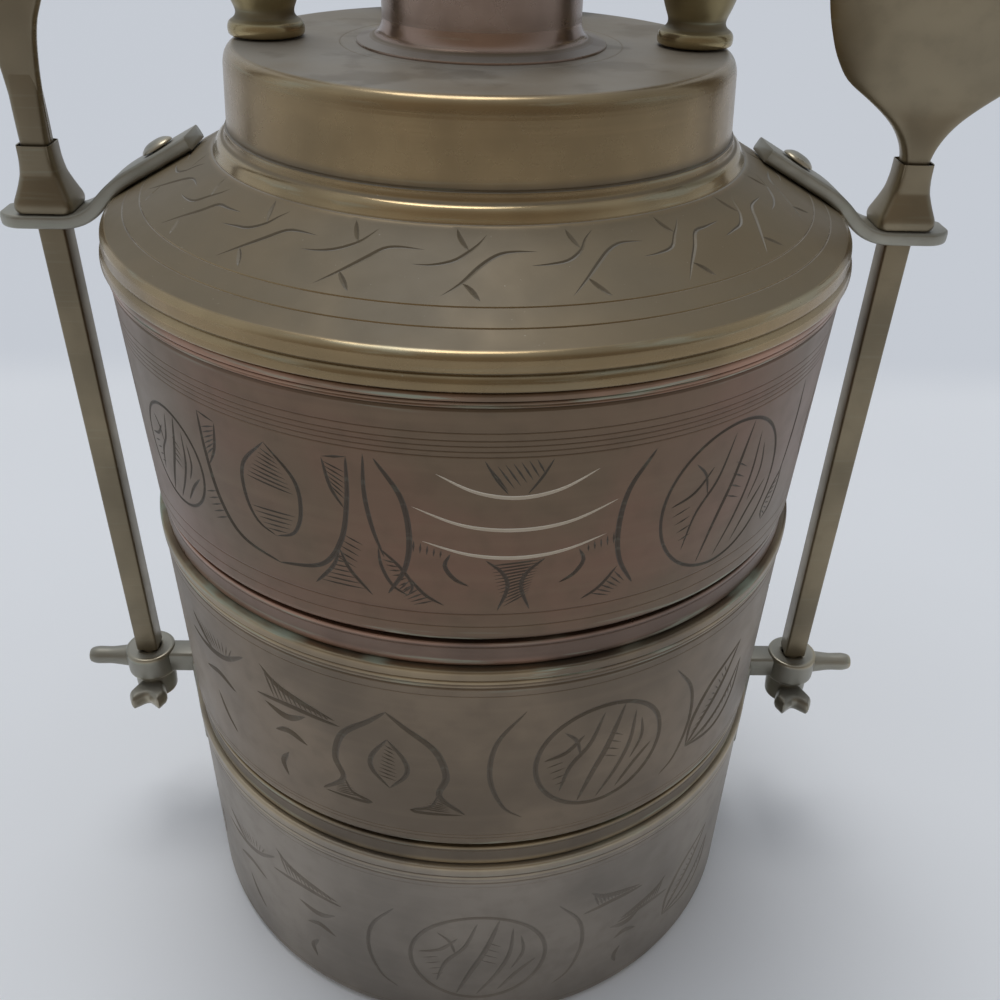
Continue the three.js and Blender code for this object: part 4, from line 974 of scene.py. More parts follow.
def bowl_lines(v, number, bead, upper, lower):
    """The profile of a bowl in two parts, under and over its engraved panel, and the panel's ends.
    Upper and lower are the panel's end and the turned lines, in mm under the mouth or over the floor."""
    b = v.b
    floor, mouth, foot, wall = v.floors[number], v.mouths[number], v.feet[number], v.walls[number]
    bead_foot, bead_out = mouth - bead, wall + b.bead_proud
    low, high = np.array([foot, floor + b.corner]), np.array([wall, bead_foot - 0.5 * MM])
    on_wall = lambda z: low + (high - low) * (z - low[1]) / (high[1] - low[1])
    panel = [on_wall(floor + lower[0] * MM), on_wall(mouth - upper[0] * MM)]
    under = np.concatenate([
        rounded([(0, floor), (foot - b.corner, floor, 0.8 * MM),
                 (foot - 0.35 * MM, floor + b.corner * 0.45, 0.8 * MM), tuple(low)])[:-1],
        notched(low, panel[0], [floor + z * MM for z in lower[1:]])])
    k = bead / (3.4 * MM)  # the steps of the bead are drawn for one 3.4 mm high
    lip = corners_at(wall, bead_foot, [(-0.35, 0), (0.05, 0.15), (0.2, 0.45 * k, 0.25), (-0.05, 0.85 * k)])
    lip += corners_at(bead_out, bead_foot, [
        (-0.05, 0.95 * k, 0.1), (-0.05, 1.45 * k, 0.2), (-0.35, 1.6 * k), (0, 1.75 * k, 0.25)])
    lip += [(bead_out, mouth, 0.75 * MM)] + corners_at(v.nest, mouth, [(0, 0, 0.8), (0, -2.6, 0.8)])
    lip += [(wall - b.sheet, mouth - 4.4 * MM, 0.8 * MM), (foot - b.sheet, floor + 4 * MM, 2.2 * MM),
            (foot - b.corner - b.sheet, floor + b.sheet, 1.6 * MM), (0, floor + b.sheet)]
    over = np.concatenate([
        notched(panel[1], high, [mouth - z * MM for z in upper[1:]])[:-1], rounded([tuple(high)] + lip, 4)])
    return under, over, panel


def bowl_shells(v, number, bead, upper, lower, cuts, slope):
    """A bowl's turned parts, and its engraved panel laid round it with the middle of one copy in front."""
    under, over, panel = bowl_lines(v, number, bead, upper, lower)
    wide = 2 * np.pi * v.walls[number] / BOWL_REPEATS / MM
    tall = np.hypot(*(panel[1] - panel[0])) / MM
    flat = engraved(placed(cuts, 0, tall / 2), wide, tall, COLUMNS // BOWL_REPEATS, int(tall / 2), slope)
    turn = FRONT - np.pi / BOWL_REPEATS
    return [spun(under, turn=turn), spun(over, turn=turn)] + wrapped(flat, *panel, BOWL_REPEATS, FRONT)


class CARRIER_OT_bowls(bpy.types.Operator):
    """Builds the three bowls with their turned lines, beads and engraving"""
    bl_idname = "carrier.bowls"
    bl_label = "Bowls"

    def execute(self, context):
        v = sizes_of(context.scene)
        w, h = v.b.stroke / MM, v.b.hatch / MM
        top = (placed(arc_group(w, h), 7, 0) + placed(looped_drop(w, h), -37, 1)
               + placed(leaf_roundel(15.2, w, h), 49, 0) + placed(spindle(w, h), -17, 0)
               + placed(leaf_foot(w, h), -24, -10.4) + placed(spindle(w, h), 70, 0, mirror=True)
               + placed(leaf_roundel(10.4, w, h), -65, 0))
        w, h = w * 1.55, h * 1.2  # the lower bowls are cut more boldly
        bracket = [stroke([(3.4, 16.5), (-2.2, 8), (-3.4, -2), (-.6, -11), (3.6, -15)], w)]
        wedge, spray, crescent, pair = hatched_wedge(w, h), leaf_spray(w, h), crescents(w), wedge_pair(w, h)
        middle = (placed(leaf_roundel(14.2, w, h), 27, 0) + placed(arch(w, h), -17, 0) + placed(pair, -62, 0)
                  + placed(wedge, -38, 8) + placed(crescent, -40, -3) + placed(bracket, 7, 0)
                  + placed(bracket, 47, 0, mirror=True) + placed(spray, 59, 0, 0.9))
        bottom = (placed(leaf_roundel(16, w, h), 2, -2) + placed(wedge, 35, 9, 0.8)
                  + placed(wedge, 46, -1, 0.8, mirror=True) + placed(crescent, 40, -9, 0.8)
                  + placed(spray, 62, -2, 0.9) + placed(wedge, -42, 9) + placed(crescent, -38, -6)
                  + placed(pair, -62, -2) + placed(bracket, 24, -2, mirror=True) + placed(bracket, -21, -2))
        # Body, the bead's height, the upper and lower lines in mm, the cuts and how much grime and painted
        # shade darken them, slot
        rows = [("bottom", "base", 5.4, (9, 7), (4.4, 3.6), bottom, 0.5, "bottom_bowl_brass"),
                ("middle", "middle_tier", 4.4, (8.2, 6.6), (5.4, 3.6, 4.6), middle, 0.6, "middle_bowl_brass"),
                ("top", "top_tier", 2.8, (12, 11.6, 10.6, 9.6, 8.6, 7.2), (7.7, 4.3, 7.3), top, None,
                 "top_bowl_bronze")]
        for number, (name, body, bead, upper, lower, cuts, dirt_shade_sheen, slot) in enumerate(rows):
            cuts = [(line, half, own if dirt_shade_sheen is None else dirt_shade_sheen) for line, half, own in cuts]
            shells = bowl_shells(v, number, bead * MM, upper, lower, cuts, v.b.cut_slope)
            make_piece(f"{name}_bowl_shell", shells, finish_of(slot), body, [f"{name}_bowl"])
        return {"FINISHED"}


class CARRIER_OT_foot_rings(bpy.types.Operator):
    """Builds the plain bands and spigots under the middle and top bowls"""
    bl_idname = "carrier.foot_rings"
    bl_label = "Foot Rings"

    def execute(self, context):
        v = sizes_of(context.scene)
        band, bore, seat = v.b.mouth_radius - v.b.band_inset, v.spigot - v.b.spigot_wall, v.b.seat
        # The band under the middle bowl takes the dark joint brass, partly painted shade in its recess
        rows = [("middle", 0, "middle_tier", "dark_brass", "dark_brass"),
                ("top", 1, "top_tier", "copper", "copper_band")]
        for name, under, body, slot, metal in rows:
            z, (low, high) = v.mouths[under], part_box(f"{name}_foot_ring")
            line = [(bore, z), (bore, low.z, 0.3 * MM), (v.spigot, low.z, 0.5 * MM), (v.spigot, z + seat),
                    (band, z + seat, 0.35 * MM)]
            line += corners_at(band, high.z, [(0, -1.3), (-0.12, -1.1), (0, -0.9), (0, 0, 0.35)])
            line += [(bore, high.z, 0.3 * MM), (bore, z)]
            ring = spun(rounded(line))
            make_piece(f"{name}_ring", [ring], finish_of(metal), body, [f"{name}_foot_ring"])
        return {"FINISHED"}


class CARRIER_OT_lid(bpy.types.Operator):
    """Builds the lid: shoulder with its running scroll, neck with the plate, and the spigot"""
    bl_idname = "carrier.lid"
    bl_label = "Lid"

    def execute(self, context):
        v = sizes_of(context.scene)
        run = v.cone_foot[0] - v.cone_top[0]
        on_cone = lambda radius: v.cone_foot + v.slant * (v.cone_foot[0] - radius) / run
        rows = [("lid_cone", self.shoulder(v, on_cone), "lid_shoulder", "lid_brass"),
                ("lid_drum", self.neck(v, on_cone), "lid_neck", "lid_brass"),
                ("lid_nesting_ring", self.spigot(v), "lid_spigot", "dark_brass")]
        for name, shells, node, slot in rows:
            make_piece(name, shells, finish_of(slot), "lid", [node])
        return {"FINISHED"}

    def shoulder(self, v, on_cone):
        """The rim, the roll over it and the cone, whose engraved scroll runs between two radii."""
        b, d = v.b, v.d
        panel = [on_cone(66.2 * MM), on_cone(53.1 * MM)]
        tall = np.hypot(*(panel[1] - panel[0])) / MM
        wide = 2 * np.pi * 60 / LID_REPEATS  # at 60 mm from the axis, the scroll's middle
        rng = np.random.default_rng(5)
        units = 5
        cuts = []
        for unit in range(units):
            across = (unit - (units - 1) / 2) * wide / units
            cuts += placed(scroll_unit(b.stroke / MM * 0.95, rng, wide / units, tall - 1), across - 2, 0.4)
        flat = engraved(cuts, wide, tall, COLUMNS // LID_REPEATS, int(tall / 1.6), b.cut_slope)
        bead_top, cone_z, turn = v.rim_z + d.rim_height, v.cone_foot[1], FRONT - np.pi / LID_REPEATS
        rim = [(v.rim_bore, v.rim_z), (v.rim_radius, v.rim_z, 0.7 * MM)]
        rim += corners_at(v.rim_radius, bead_top, [(0, -1.1, 1.4), (-0.3, -0.35, 0.9)])
        rim += [(v.rim_radius - d.groove, bead_top + 0.05 * MM)]
        rim += corners_at(v.rim_radius, bead_top, [(-0.55, 0.6, 0.5)])
        rim += corners_at(v.rim_radius, cone_z, [(-0.65, -2.3, 0.5), (-0.75, -0.85, 1.2)])
        lines = [cone_z + z * MM for z in (1.7, 3.6)]
        lined = notched(v.cone_foot, panel[0], lines, width=0.36 * MM, depth=0.16 * MM)
        skirt = spun(np.concatenate([rounded(rim + [tuple(v.cone_foot)])[:-1], lined]), turn=turn)
        band = notched(panel[1], v.cone_top, [panel[1][1] + 0.25 * MM], width=0.4 * MM, depth=0.14 * MM)
        band = spun(band, turn=turn)
        # The band under the neck is made smoother and paler: rubbed, with a painted highlight
        band.worn += 0.4
        # The two crests round the rim are rubbed: smoother and paler, which paints a highlight along each.
        # The turned lines' edges are made paler the same way, also a painted highlight
        skirt.worn = np.minimum(skirt.worn, 0.2)
        for crest in (cone_z - 0.8 * MM, bead_top - 0.45 * MM):
            skirt.worn[abs(skirt.points[:, 2] - crest) < 0.6 * MM] = 0.65
        over = skirt.points[:, 2] > cone_z + 0.9 * MM
        skirt.worn[over] = abs(skirt.worn[over]) * 1.5
        inner, under = v.cone_top[0] - d.ledge, v.cone_top[1] - d.sheet
        inside = [tuple(v.cone_top), (inner, v.cone_top[1], 0.3 * MM), (inner, under, 0.3 * MM),
                  (v.cone_top[0], under), (v.rim_bore, cone_z - d.sheet, 1.5 * MM), (v.rim_bore, v.rim_z)]
        return [skirt, band, spun(rounded(inside), turn=turn)] + wrapped(flat, *panel, LID_REPEATS, FRONT)

    def neck(self, v, on_cone):
        """The neck, whose stepped foot lies on the cone, and the plate with one turned ring."""
        d, z, plate = v.d, v.neck_z, v.plate_z
        neck, top, step = d.neck_radius, d.neck_radius - d.taper, z + d.step_height
        foot, inner = on_cone(neck + 3.1 * MM), (neck - d.sheet, z + 4 * MM)
        over_cone = lambda out, up: (neck + out * MM, on_cone(neck + out * MM)[1] + up * MM, 0.5 * MM)
        line = [inner, (neck - d.sheet, z, 0.4 * MM), (foot[0] - 0.6 * MM, foot[1] - 0.5 * MM), tuple(foot)]
        line += [over_cone(*row) for row in ((2.7, 0.45), (2.3, 1.05), (1.9, 1.32), (0.8, 1.36), (0.6, 1.75))]
        line += [(neck + d.step_proud, step - 0.1 * MM, 0.2 * MM)]
        line += corners_at(neck, step, [(0.05, -0.05), (-0.05, 0.12), (0.1, 0.35)])
        line += [(top, plate, d.plate_round)]
        line += corners_at(0, plate, [(44, 0), (27.3, 0), (27, -0.12), (26.7, 0), (0, 0)])
        outside = spun(rounded(line, 8))
        height = outside.points[:, 2] - z
        # The neck's foot is made smoother and paler: rubbed, with a painted highlight on its band
        outside.worn[(height > -2.5 * MM) & (height < 2.6 * MM)] += 0.55
        under = rounded([(0, plate - d.sheet), (top - d.sheet, plate - d.sheet, 1.5 * MM), inner])
        return [outside, spun(under)]

    def spigot(self, v):
        """The ring inside the lid: a narrow part in the bowl's mouth under a wide one in the rim."""
        low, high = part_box("lid_spigot")
        bore, wide = v.spigot - v.b.spigot_wall, v.rim_bore - v.b.seat
        return [spun(rounded([
            (bore, v.rim_z), (bore, low.z, 0.3 * MM), (v.spigot, low.z, 0.5 * MM), (v.spigot, v.rim_z),
            (wide, v.rim_z, 0.2 * MM), (wide, high.z, 0.3 * MM), (bore, high.z, 0.3 * MM), (bore, v.rim_z)]))]


class CARRIER_OT_pot(bpy.types.Operator):
    """Builds the small copper pot on the plate, its cap and the cap's knob"""
    bl_idname = "carrier.pot"
    bl_label = "Pot"

    def execute(self, context):
        v = sizes_of(context.scene)
        p, seat, slot, facets = v.p, v.b.seat, "copper", 128
        z = v.plate_z + seat
        rim, foot, floor = z + p.height, p.radius + p.flare, z + 2.4 * MM
        line = [(0, z), (foot - 1 * MM, z), (foot, z - seat * 0.9), (foot, z + 0.1 * MM, 0.2 * MM)]
        line += corners_at(p.radius, z, [(1.3, 0.75, 2)]) + [(p.radius, z + p.flare_height, 1.6 * MM)]
        line += corners_at(p.radius, rim, [(0, -13), (-0.12, -12.8), (0, -12.6), (0, 0, 0.4)])
        line += [(p.radius - p.sheet, rim, 0.4 * MM), (p.radius - p.sheet, floor, 2 * MM), (0, floor)]
        cup = spun(rounded(line), facets)
        out, up = np.hypot(cup.points[:, 0], cup.points[:, 1]) - p.radius, cup.points[:, 2] - z
        cup.worn[(out > 1.6 * MM) & (up < 1 * MM)] = -0.1
        # The fillet at the pot's foot is made smoother and paler: rubbed, with a painted highlight
        cup.worn[(out > 0.02 * MM) & (out < 1.6 * MM) & (up > 0.6 * MM) & (up < 4 * MM)] = 0.5
        make_piece("pot_cup", [cup], finish_of(slot), "lid", ["pot"])

        bore, out, hole = p.radius + p.cap_gap, p.radius + p.cap_gap + p.cap_sheet, 1.85 * MM
        inside, edge = rim + seat, rim + seat + p.cap_sheet
        line = [(hole, inside + p.dome), (bore - 2 * MM, inside + 2 * MM, 3 * MM), (bore, inside, 1.2 * MM),
                (bore, edge - p.skirt, 0.3 * MM), (out, edge - p.skirt, 0.4 * MM)]
        line += corners_at(out, edge - p.skirt, [(-0.25, 1.6, 0.5)])
        line += corners_at(out, edge, [(-0.25, -1, 0.8), (0, 0, 0.6), (-2, 2, 2.4)])
        line += [(hole, edge + p.dome), (hole, inside + p.dome)]
        make_piece("cap_shell", [spun(rounded(line), facets)], finish_of(slot), "cap", ["pot_cap"])

        seat, slot = edge + p.dome + seat, "fitting_brass"
        table = [(0.62, 0), (0.62, 0.08), (0.4, 0.2), (0.36, 0.34), (0.5, 0.42), (0.92, 0.55), (1, 0.68),
                 (0.86, 0.86), (0.5, 0.97)]  # shares of the knob's radius and height
        knob = [(p.knob_radius * r, seat + p.knob_height * h, 0.8 * MM) for r, h in table]
        peg = corners_at(0, seat, [(0, -2.6), (1.5, -2.6, 0.2), (1.5, 0)])
        line = rounded(peg + knob + [(0, seat + p.knob_height)])
        make_piece("knob", [spun(line, SMALL_COLUMNS, 0.8 * MM)], finish_of(slot), "cap", ["cap_knob"])
        return {"FINISHED"}


class CARRIER_OT_posts(bpy.types.Operator):
    """Builds the two turned posts, the bail's pins and the finish of the nuts inside the neck"""
    bl_idname = "carrier.posts"
    bl_label = "Posts"

    def execute(self, context):
        v = sizes_of(context.scene)
        h, seat, slot = v.h, v.b.seat, "fitting_brass"
        foot, low = v.plate_z + seat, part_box("post_right")[0].z
        table = [(1, 0), (1, 0.074), (0.78, 0.105), (0.745, 0.142), (0.87, 0.21), (1.03, 0.32), (0.9, 0.43),
                 (0.54, 0.57), (0.49, 0.66), (0.66, 0.73), (0.52, 0.78)]  # shares of its radius and height
        turned = [(h.post_radius * r, foot + (h.pivot_height - seat) * t, 0.9 * MM) for r, t in table]
        ball = [(h.head_radius * math.cos(a), v.pivot_z + h.head_radius * math.sin(a), 1.4 * MM)
                for a in np.linspace(-0.95, 1.4, 8)]
        screw = [(0, low), (2.4 * MM, low, 0.3 * MM), (2.4 * MM, foot)]
        line = rounded(screw + turned + ball + [(0, v.pivot_z + h.head_radius)], 4)
        length, head = h.head_radius * 2 + h.eye_thickness + seat * 3, 1.2 * MM
        pin = rounded([(0, -head), (h.pin_head, -head, 0.6 * MM), (h.pin_head, 0, 0.2 * MM), (h.pin, 0),
                       (h.pin, length), (h.pin_head, length, 0.2 * MM), (h.pin_head, length + head, 0.6 * MM),
                       (0, length + head)])
        at_post = Matrix.Translation((h.post_offset, 0, 0))
        at_pin = Matrix.Translation((h.post_offset - h.head_radius - seat, 0, v.pivot_z)) @ LAID
        for side, turn in SIDES:
            post = moved(spun(line, SMALL_COLUMNS, 0.8 * MM), turn @ at_post)
            make_piece(f"turned_post_{side}", [post], finish_of(slot), "lid", [f"post_{side}"])
            rod = moved(spun(pin, 32, 1 * MM), turn @ at_pin)
            make_piece(f"pin_{side}", [rod], finish_of(slot), "lid", [f"bail_pin_{side}"])
            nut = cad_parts[f"post_nut_{side}"]
            nut.data.materials.clear()
            nut.data.materials.append(finish_of("dark_brass"))
        return {"FINISHED"}


class CARRIER_OT_bail(bpy.types.Operator):
    """Builds the bail, a bent rod with flat eyes, and the turned grip on it"""
    bl_idname = "carrier.bail"
    bl_label = "Bail"

    def execute(self, context):
        v = sizes_of(context.scene)
        h, slot = v.h, "fitting_brass"
        # A circle carried along an upside-down U with round corners, from eye to eye
        start = 3.6 * MM
        path = spaced(rounded([(v.eye_x, start), (v.eye_x, h.reach, h.bend), (-v.eye_x, h.reach, h.bend),
                               (-v.eye_x, start)], 16), 2.5 * MM)
        path = np.concatenate([path[:1], path, path[-1:]])
        path[[0, -1], 1] -= 0.02 * MM
        thick = np.ones((len(path), 1, 1))
        thick[[0, -1]] = 0  # both ends are closed by one point
        ring = np.linspace(0, 2 * np.pi, 24, endpoint=False)
        shells = [shell(carried(path, h.rod * np.stack([np.cos(ring), np.sin(ring)], -1) * thick))]
        half, bore = h.eye_thickness / 2, h.pin + PLAY
        eye = rounded([(bore, 0), (bore, -half, 0.3 * MM), (h.eye_radius, -half, 0.7 * MM),
                       (h.eye_radius, half, 0.7 * MM), (bore, half, 0.3 * MM), (bore, 0)])
        for _, turn in SIDES:
            shells.append(moved(spun(eye, 48, 1 * MM), turn @ Matrix.Translation((v.eye_x, 0, 0)) @ LAID))
        table = [(-0.5, 0.66), (-0.46, 0.8), (-0.4, 0.56), (-0.34, 0.86), (-0.12, 1), (0.12, 1), (0.34, 0.86),
                 (0.4, 0.56), (0.46, 0.8), (0.5, 0.66)]  # shares of the grip's length and radius
        gap, end = h.rod + PLAY, h.grip_length / 2
        sleeve = [(h.grip_radius * r, h.grip_length * t, 1.1 * MM) for t, r in table]
        line = rounded([(gap, 0), (gap, -end)] + sleeve + [(gap, end), (gap, 0)], 4)
        grip = moved(spun(line, SMALL_COLUMNS, 1 * MM), Matrix.Translation((0, 0, h.reach)) @ LAID)
        # The bail lies back until the grip rests on the plate
        dip = math.asin((h.pivot_height - h.grip_radius - v.b.seat) / h.reach)
        lie = Matrix.Translation((0, 0, v.pivot_z)) @ Matrix.Rotation(-math.pi / 2 - dip, 4, "X")
        make_piece("bail_rod", [moved(part, lie) for part in shells], finish_of(slot), "bail", ["bail"])
        make_piece("grip", [moved(grip, lie)], finish_of(slot), "bail", ["bail_grip"])
        return {"FINISHED"}


def rivet_line(grip, seat, head):
    """The profile of a rivet through sheets that end grip below z = 0: set end, shank and head."""
    set_end, shank, low = 2.4 * MM, 1.5 * MM, -grip - 1.1 * MM
    return rounded([(0, low), (set_end, low, 0.3 * MM), (set_end, -grip - seat), (shank, -grip - seat),
                    (shank, 0)] + head)


class CARRIER_OT_straps(bpy.types.Operator):
    """Builds the two straps over the shoulder, pierced for the bars, and their rivets"""
    bl_idname = "carrier.straps"
    bl_label = "Straps"

    def execute(self, context):
        v = sizes_of(context.scene)
        s, slot, seat, half = v.s, "strap_brass", v.b.seat, v.s.thickness / 2
        off = lambda way, out: v.cone_top - v.slant * way + v.cone_normal * out
        middle = v.strap_top - half
        bend = v.rim_radius + seat + half + 3.6 * MM
        line = [(v.bar_x + s.reach, middle), (bend, middle, 5 * MM), (*off(0.97, seat + half), 4 * MM),
                tuple(off(s.start, seat + half))]
        path = spaced(rounded(line, 8), 1 * MM)
        run = np.concatenate([[0], np.cumsum(np.hypot(*np.diff(path, axis=0).T))])
        # A rounded rectangle carried along the line. Its outer end is a half circle, its inner end
        # square, with the corners rounded by 0.6 mm
        radius, corner = s.width / 2, 0.6 * MM
        square_end = np.minimum((run[-1] - run) / corner, 1)
        wide = radius - corner * (1 - np.sqrt(1 - (1 - square_end) ** 2))
        wide[-1] = 0
        thick = half * np.sqrt(np.clip(np.minimum(run, run[-1] - run) / (0.5 * MM), 0, 1))
        at = np.sort(np.concatenate([run, np.linspace(0, 1, 9)[1:-1] ** 2 * radius]))
        path = np.stack([np.interp(at, run, column) for column in path.T], 1)
        wide, thick = np.interp(at, run, wide), np.interp(at, run, thick)
        wide = np.where(at < radius, np.sqrt(np.maximum(radius ** 2 - (radius - at) ** 2, 0)), wide)
        section = squared(wide, thick, 0.7 * MM, np.zeros(len(at)))[..., :2]
        strap = shell(carried(path, section), 0.25)
        top, high = s.head_radius, s.head_height
        stud = rivet_line(v.d.sheet + s.thickness + seat * 2, seat, [
            (top, 0, 0.3 * MM), (top * 0.95, high * 0.35, 0.5 * MM), (top * 0.55, high * 0.92, 0.9 * MM),
            (0, high)])
        spot = off(s.rivet, 2 * seat + s.thickness)
        lean = math.pi / 2 - math.atan2(v.cone_normal[1], v.cone_normal[0])
        on_strap = Matrix.Translation((spot[0], 0, spot[1])) @ Matrix.Rotation(lean, 4, "Y")
        hole = s.bar / 2 + PLAY
        cutter = shell(bar(hole, hole, middle - 4 * MM, middle + 4 * MM, 0.3 * MM) + (v.bar_x, 0, 0))
        for side, turn in SIDES:
            piece = make_piece(
                f"strap_band_{side}", [moved(strap, turn)], finish_of(slot), "lid", [f"strap_{side}"])
            pierce(piece, moved(cutter, turn))
            rivet = moved(spun(stud, 48, 0.6 * MM), turn @ on_strap)
            make_piece(f"strap_stud_{side}", [rivet], finish_of(slot), "lid", [f"strap_rivet_{side}"])
        return {"FINISHED"}


def pierce(piece, cutter):
    """Cuts a closed shell out of a piece and takes the cutter away again."""
    mesh = bpy.data.meshes.new("cutter")
    mesh.from_pydata(cutter.points.tolist(), [], cutter.faces.tolist())
    tool = bpy.data.objects.new("cutter", mesh)
    bpy.context.scene.collection.objects.link(tool)
    change = piece.modifiers.new("hole", "BOOLEAN")
    change.operation, change.solver, change.object = "DIFFERENCE", "EXACT", tool
    bpy.context.view_layer.update()
    made = bpy.data.meshes.new_from_object(piece.evaluated_get(bpy.context.evaluated_depsgraph_get()))
    piece.modifiers.clear()
    old, piece.data = piece.data, made
    bpy.data.objects.remove(tool)
    bpy.data.meshes.remove(old)


class CARRIER_OT_lugs(bpy.types.Operator):
    """Builds the lugs on the bottom bowl: plate, arm, eye and tip, with their rivets"""
    bl_idname = "carrier.lugs"
    bl_label = "Lugs"

    def execute(self, context):
        v = sizes_of(context.scene)
        g, seat = v.g, v.b.seat
        wall = v.walls[0] + seat
        face = wall + g.plate_thickness
        top = v.mouths[0] - g.plate_drop
        foot = top - g.plate_length
        at_bar = Matrix.Translation((v.bar_x, 0, 0))
        arm = bar(g.arm / 2, g.arm / 2, face - 1 * MM, v.bar_x - 4 * MM, 0.9 * MM)
        arm = shell(np.stack([arm[..., 2], arm[..., 0], arm[..., 1] + v.arm_z], -1), 0.25)
        eye, low, high = g.screw + PLAY, v.arm_z - g.hub_height / 2, v.hub_top
        hub = rounded([(eye, v.arm_z), (eye, low, 0.4 * MM), (g.hub_radius, low, 0.9 * MM),
                       (g.hub_radius, high, 0.9 * MM), (eye, high, 0.4 * MM), (eye, v.arm_z)])
        r, reach = g.tip_radius, g.tip_reach
        tip = rounded([(0, 4 * MM), (r * 1.4, 4 * MM), (r * 1.15, 8 * MM, 1 * MM), (r, 11 * MM, 1 * MM),
                       (r * 1.04, reach - 2 * MM, 1 * MM), (r * 0.8, reach - 0.2 * MM, 0.6 * MM), (0, reach)])
        parts = [self.plate(g, wall, face, foot, top), arm, moved(spun(hub, SMALL_COLUMNS, 1 * MM), at_bar),
                 moved(spun(tip, 40, 1 * MM), Matrix.Translation((v.bar_x, 0, v.arm_z)) @ LAID)]
        stud = rivet_line(g.plate_thickness + v.b.sheet + seat * 2, seat, corners_at(0, 0, [
            (2.2, 0, 0.2), (2.1, 0.4, 0.3), (1.2, 0.95, 0.4), (0, 1)]))
        for side, turn in SIDES:
            make_piece(f"lug_arm_{side}", [moved(part, turn) for part in parts], finish_of("strap_brass"),
                       "base", [f"lug_{side}"])
            for number, rise in enumerate((3.4 * MM, 8.8 * MM), 1):
                on_plate = Matrix.Translation((face + seat, 0, foot + rise)) @ LAID
                rivet, node = moved(spun(stud, 32, 0.6 * MM), turn @ on_plate), f"lug_rivet_{number}_{side}"
                make_piece(f"lug_stud_{number}_{side}", [rivet], finish_of("fitting_brass"), "base", [node])
        return {"FINISHED"}

    def plate(self, g, wall, face, foot, top):
        """The upright plate: a block whose back lies on the wall's circle. Its face is flat, and falls
        away towards its long sides as the square of the way into the last millimetre."""
        half, edge = g.plate_width / 2, 0.8 * MM
        block = bar(half, 1, foot, top, 1.4 * MM, edge)
        y, outer = block[..., 0], block[..., 1] > 0
        ends = np.abs(block[..., 2] - (foot + top) / 2) / (g.plate_length / 2)
        inset = np.where(ends > 1 - edge / g.plate_length * 2, half - np.abs(y).max(1)[:, None], 0)
        fall = np.clip(np.abs(y) - (half - 1 * MM), 0, None) ** 2 / (2 * MM)
        back = np.sqrt(np.maximum(wall ** 2 - y ** 2, 0)) + 0.02 * MM
        x = np.where(outer, face - np.minimum(inset, 1 * MM) * 0.8 - fall, back)
        x[[0, -1]] = back[[0, -1]]
        return shell(np.stack([x, y, block[..., 2]], -1)[:, ::-1], 0.2)


class CARRIER_OT_wing_nuts(bpy.types.Operator):
    """Builds the wing nuts: a hub and two fish-tailed wings"""
    bl_idname = "carrier.wing_nuts"
    bl_label = "Wing Nuts"

    def execute(self, context):
        v = sizes_of(context.scene)
        g, slot = v.g, "strap_brass"
        bore, low, high = g.screw + PLAY, v.nut_foot, v.nut_top
        mid, edge = (low + high) / 2, g.nut_radius - 0.3 * MM
        hub = rounded([(bore, mid), (bore, low, 0.4 * MM), (edge, low, 0.8 * MM), (g.nut_radius, mid, 1 * MM),
                       (edge, high, 0.8 * MM), (bore, high, 0.4 * MM), (bore, mid)])
        w, r, n, root, swell = g.wing_half, g.wing_reach, g.notch, 3.2 * MM, 1.5 * MM
        wing = [(root, -w * 0.55), (r - n - swell, -w * 0.9), (r - n, -w), (r, -w * 0.68), (r - n * 0.8, 0),
                (r, w * 0.68), (r - n, w), (r - n - swell, w * 0.9), (root, w * 0.55)]
        wing = rounded([(root, 0)] + [(*point, 0.9 * MM) for point in wing] + [(root, 0)], 4)[:-1]
        sheets = padded_plate(wing, g.wing_thickness, 1.3 * MM, 0.8 * MM)
        for side, turn in SIDES:
            place = turn @ Matrix.Translation((v.bar_x, 0, 0))
            shells = [moved(spun(hub, SMALL_COLUMNS, 1 * MM), place)]
            for way in (math.pi / 2, -math.pi / 2):  # one wing to the back, one to the front
                out = place @ Matrix.Translation((0, 0, mid)) @ Matrix.Rotation(way, 4, "Z")
                shells += [moved(sheet, out) for sheet in sheets]
            name = f"wing_nut_{side}"
            make_piece(f"winged_nut_{side}", shells, finish_of(slot), name, [name])
        return {"FINISHED"}


class CARRIER_OT_collars(bpy.types.Operator):
    """Builds the flared square collars between the cutlery and the straps"""
    bl_idname = "carrier.collars"
    bl_label = "Collars"

    def execute(self, context):
        v = sizes_of(context.scene)
        s, slot = v.s, "cutlery_brass"
        # The way up, and the share of the foot's extra width there. The bore is a straight square
        table = eased([(0, 0.88), (0.04, 0.96), (0.1, 1), (0.17, 0.94), (0.27, 0.74), (0.42, 0.45),
                       (0.58, 0.2), (0.74, 0.06), (1, 0)], 40)
        half = (s.collar_neck + (s.collar_width - s.collar_neck) * table[:, 1]) / 2
        z = v.collar_z + s.collar_height * table[:, 0]
        bore, middle = s.bar / 2 + PLAY, (z[0] + z[-1]) / 2
        half = np.concatenate([[bore, bore], half, [bore, bore]])
        z = np.concatenate([[middle, z[0]], z, [z[-1], middle]])
        outer = half > bore
        deep = np.where(outer, np.maximum(half * s.collar_depth, bore + 0.3 * MM), bore)
        grid = squared(half, deep, np.where(outer, 1.6 * MM, 0.3 * MM), z)
        for (side, turn), body in zip(SIDES, ("spoon", "fork")):
            part = moved(shell(grid, 0.3), turn @ Matrix.Translation((v.bar_x, 0, 0)))
            make_piece(f"flared_collar_{side}", [part], finish_of(slot), body, [f"collar_{side}"])
        return {"FINISHED"}


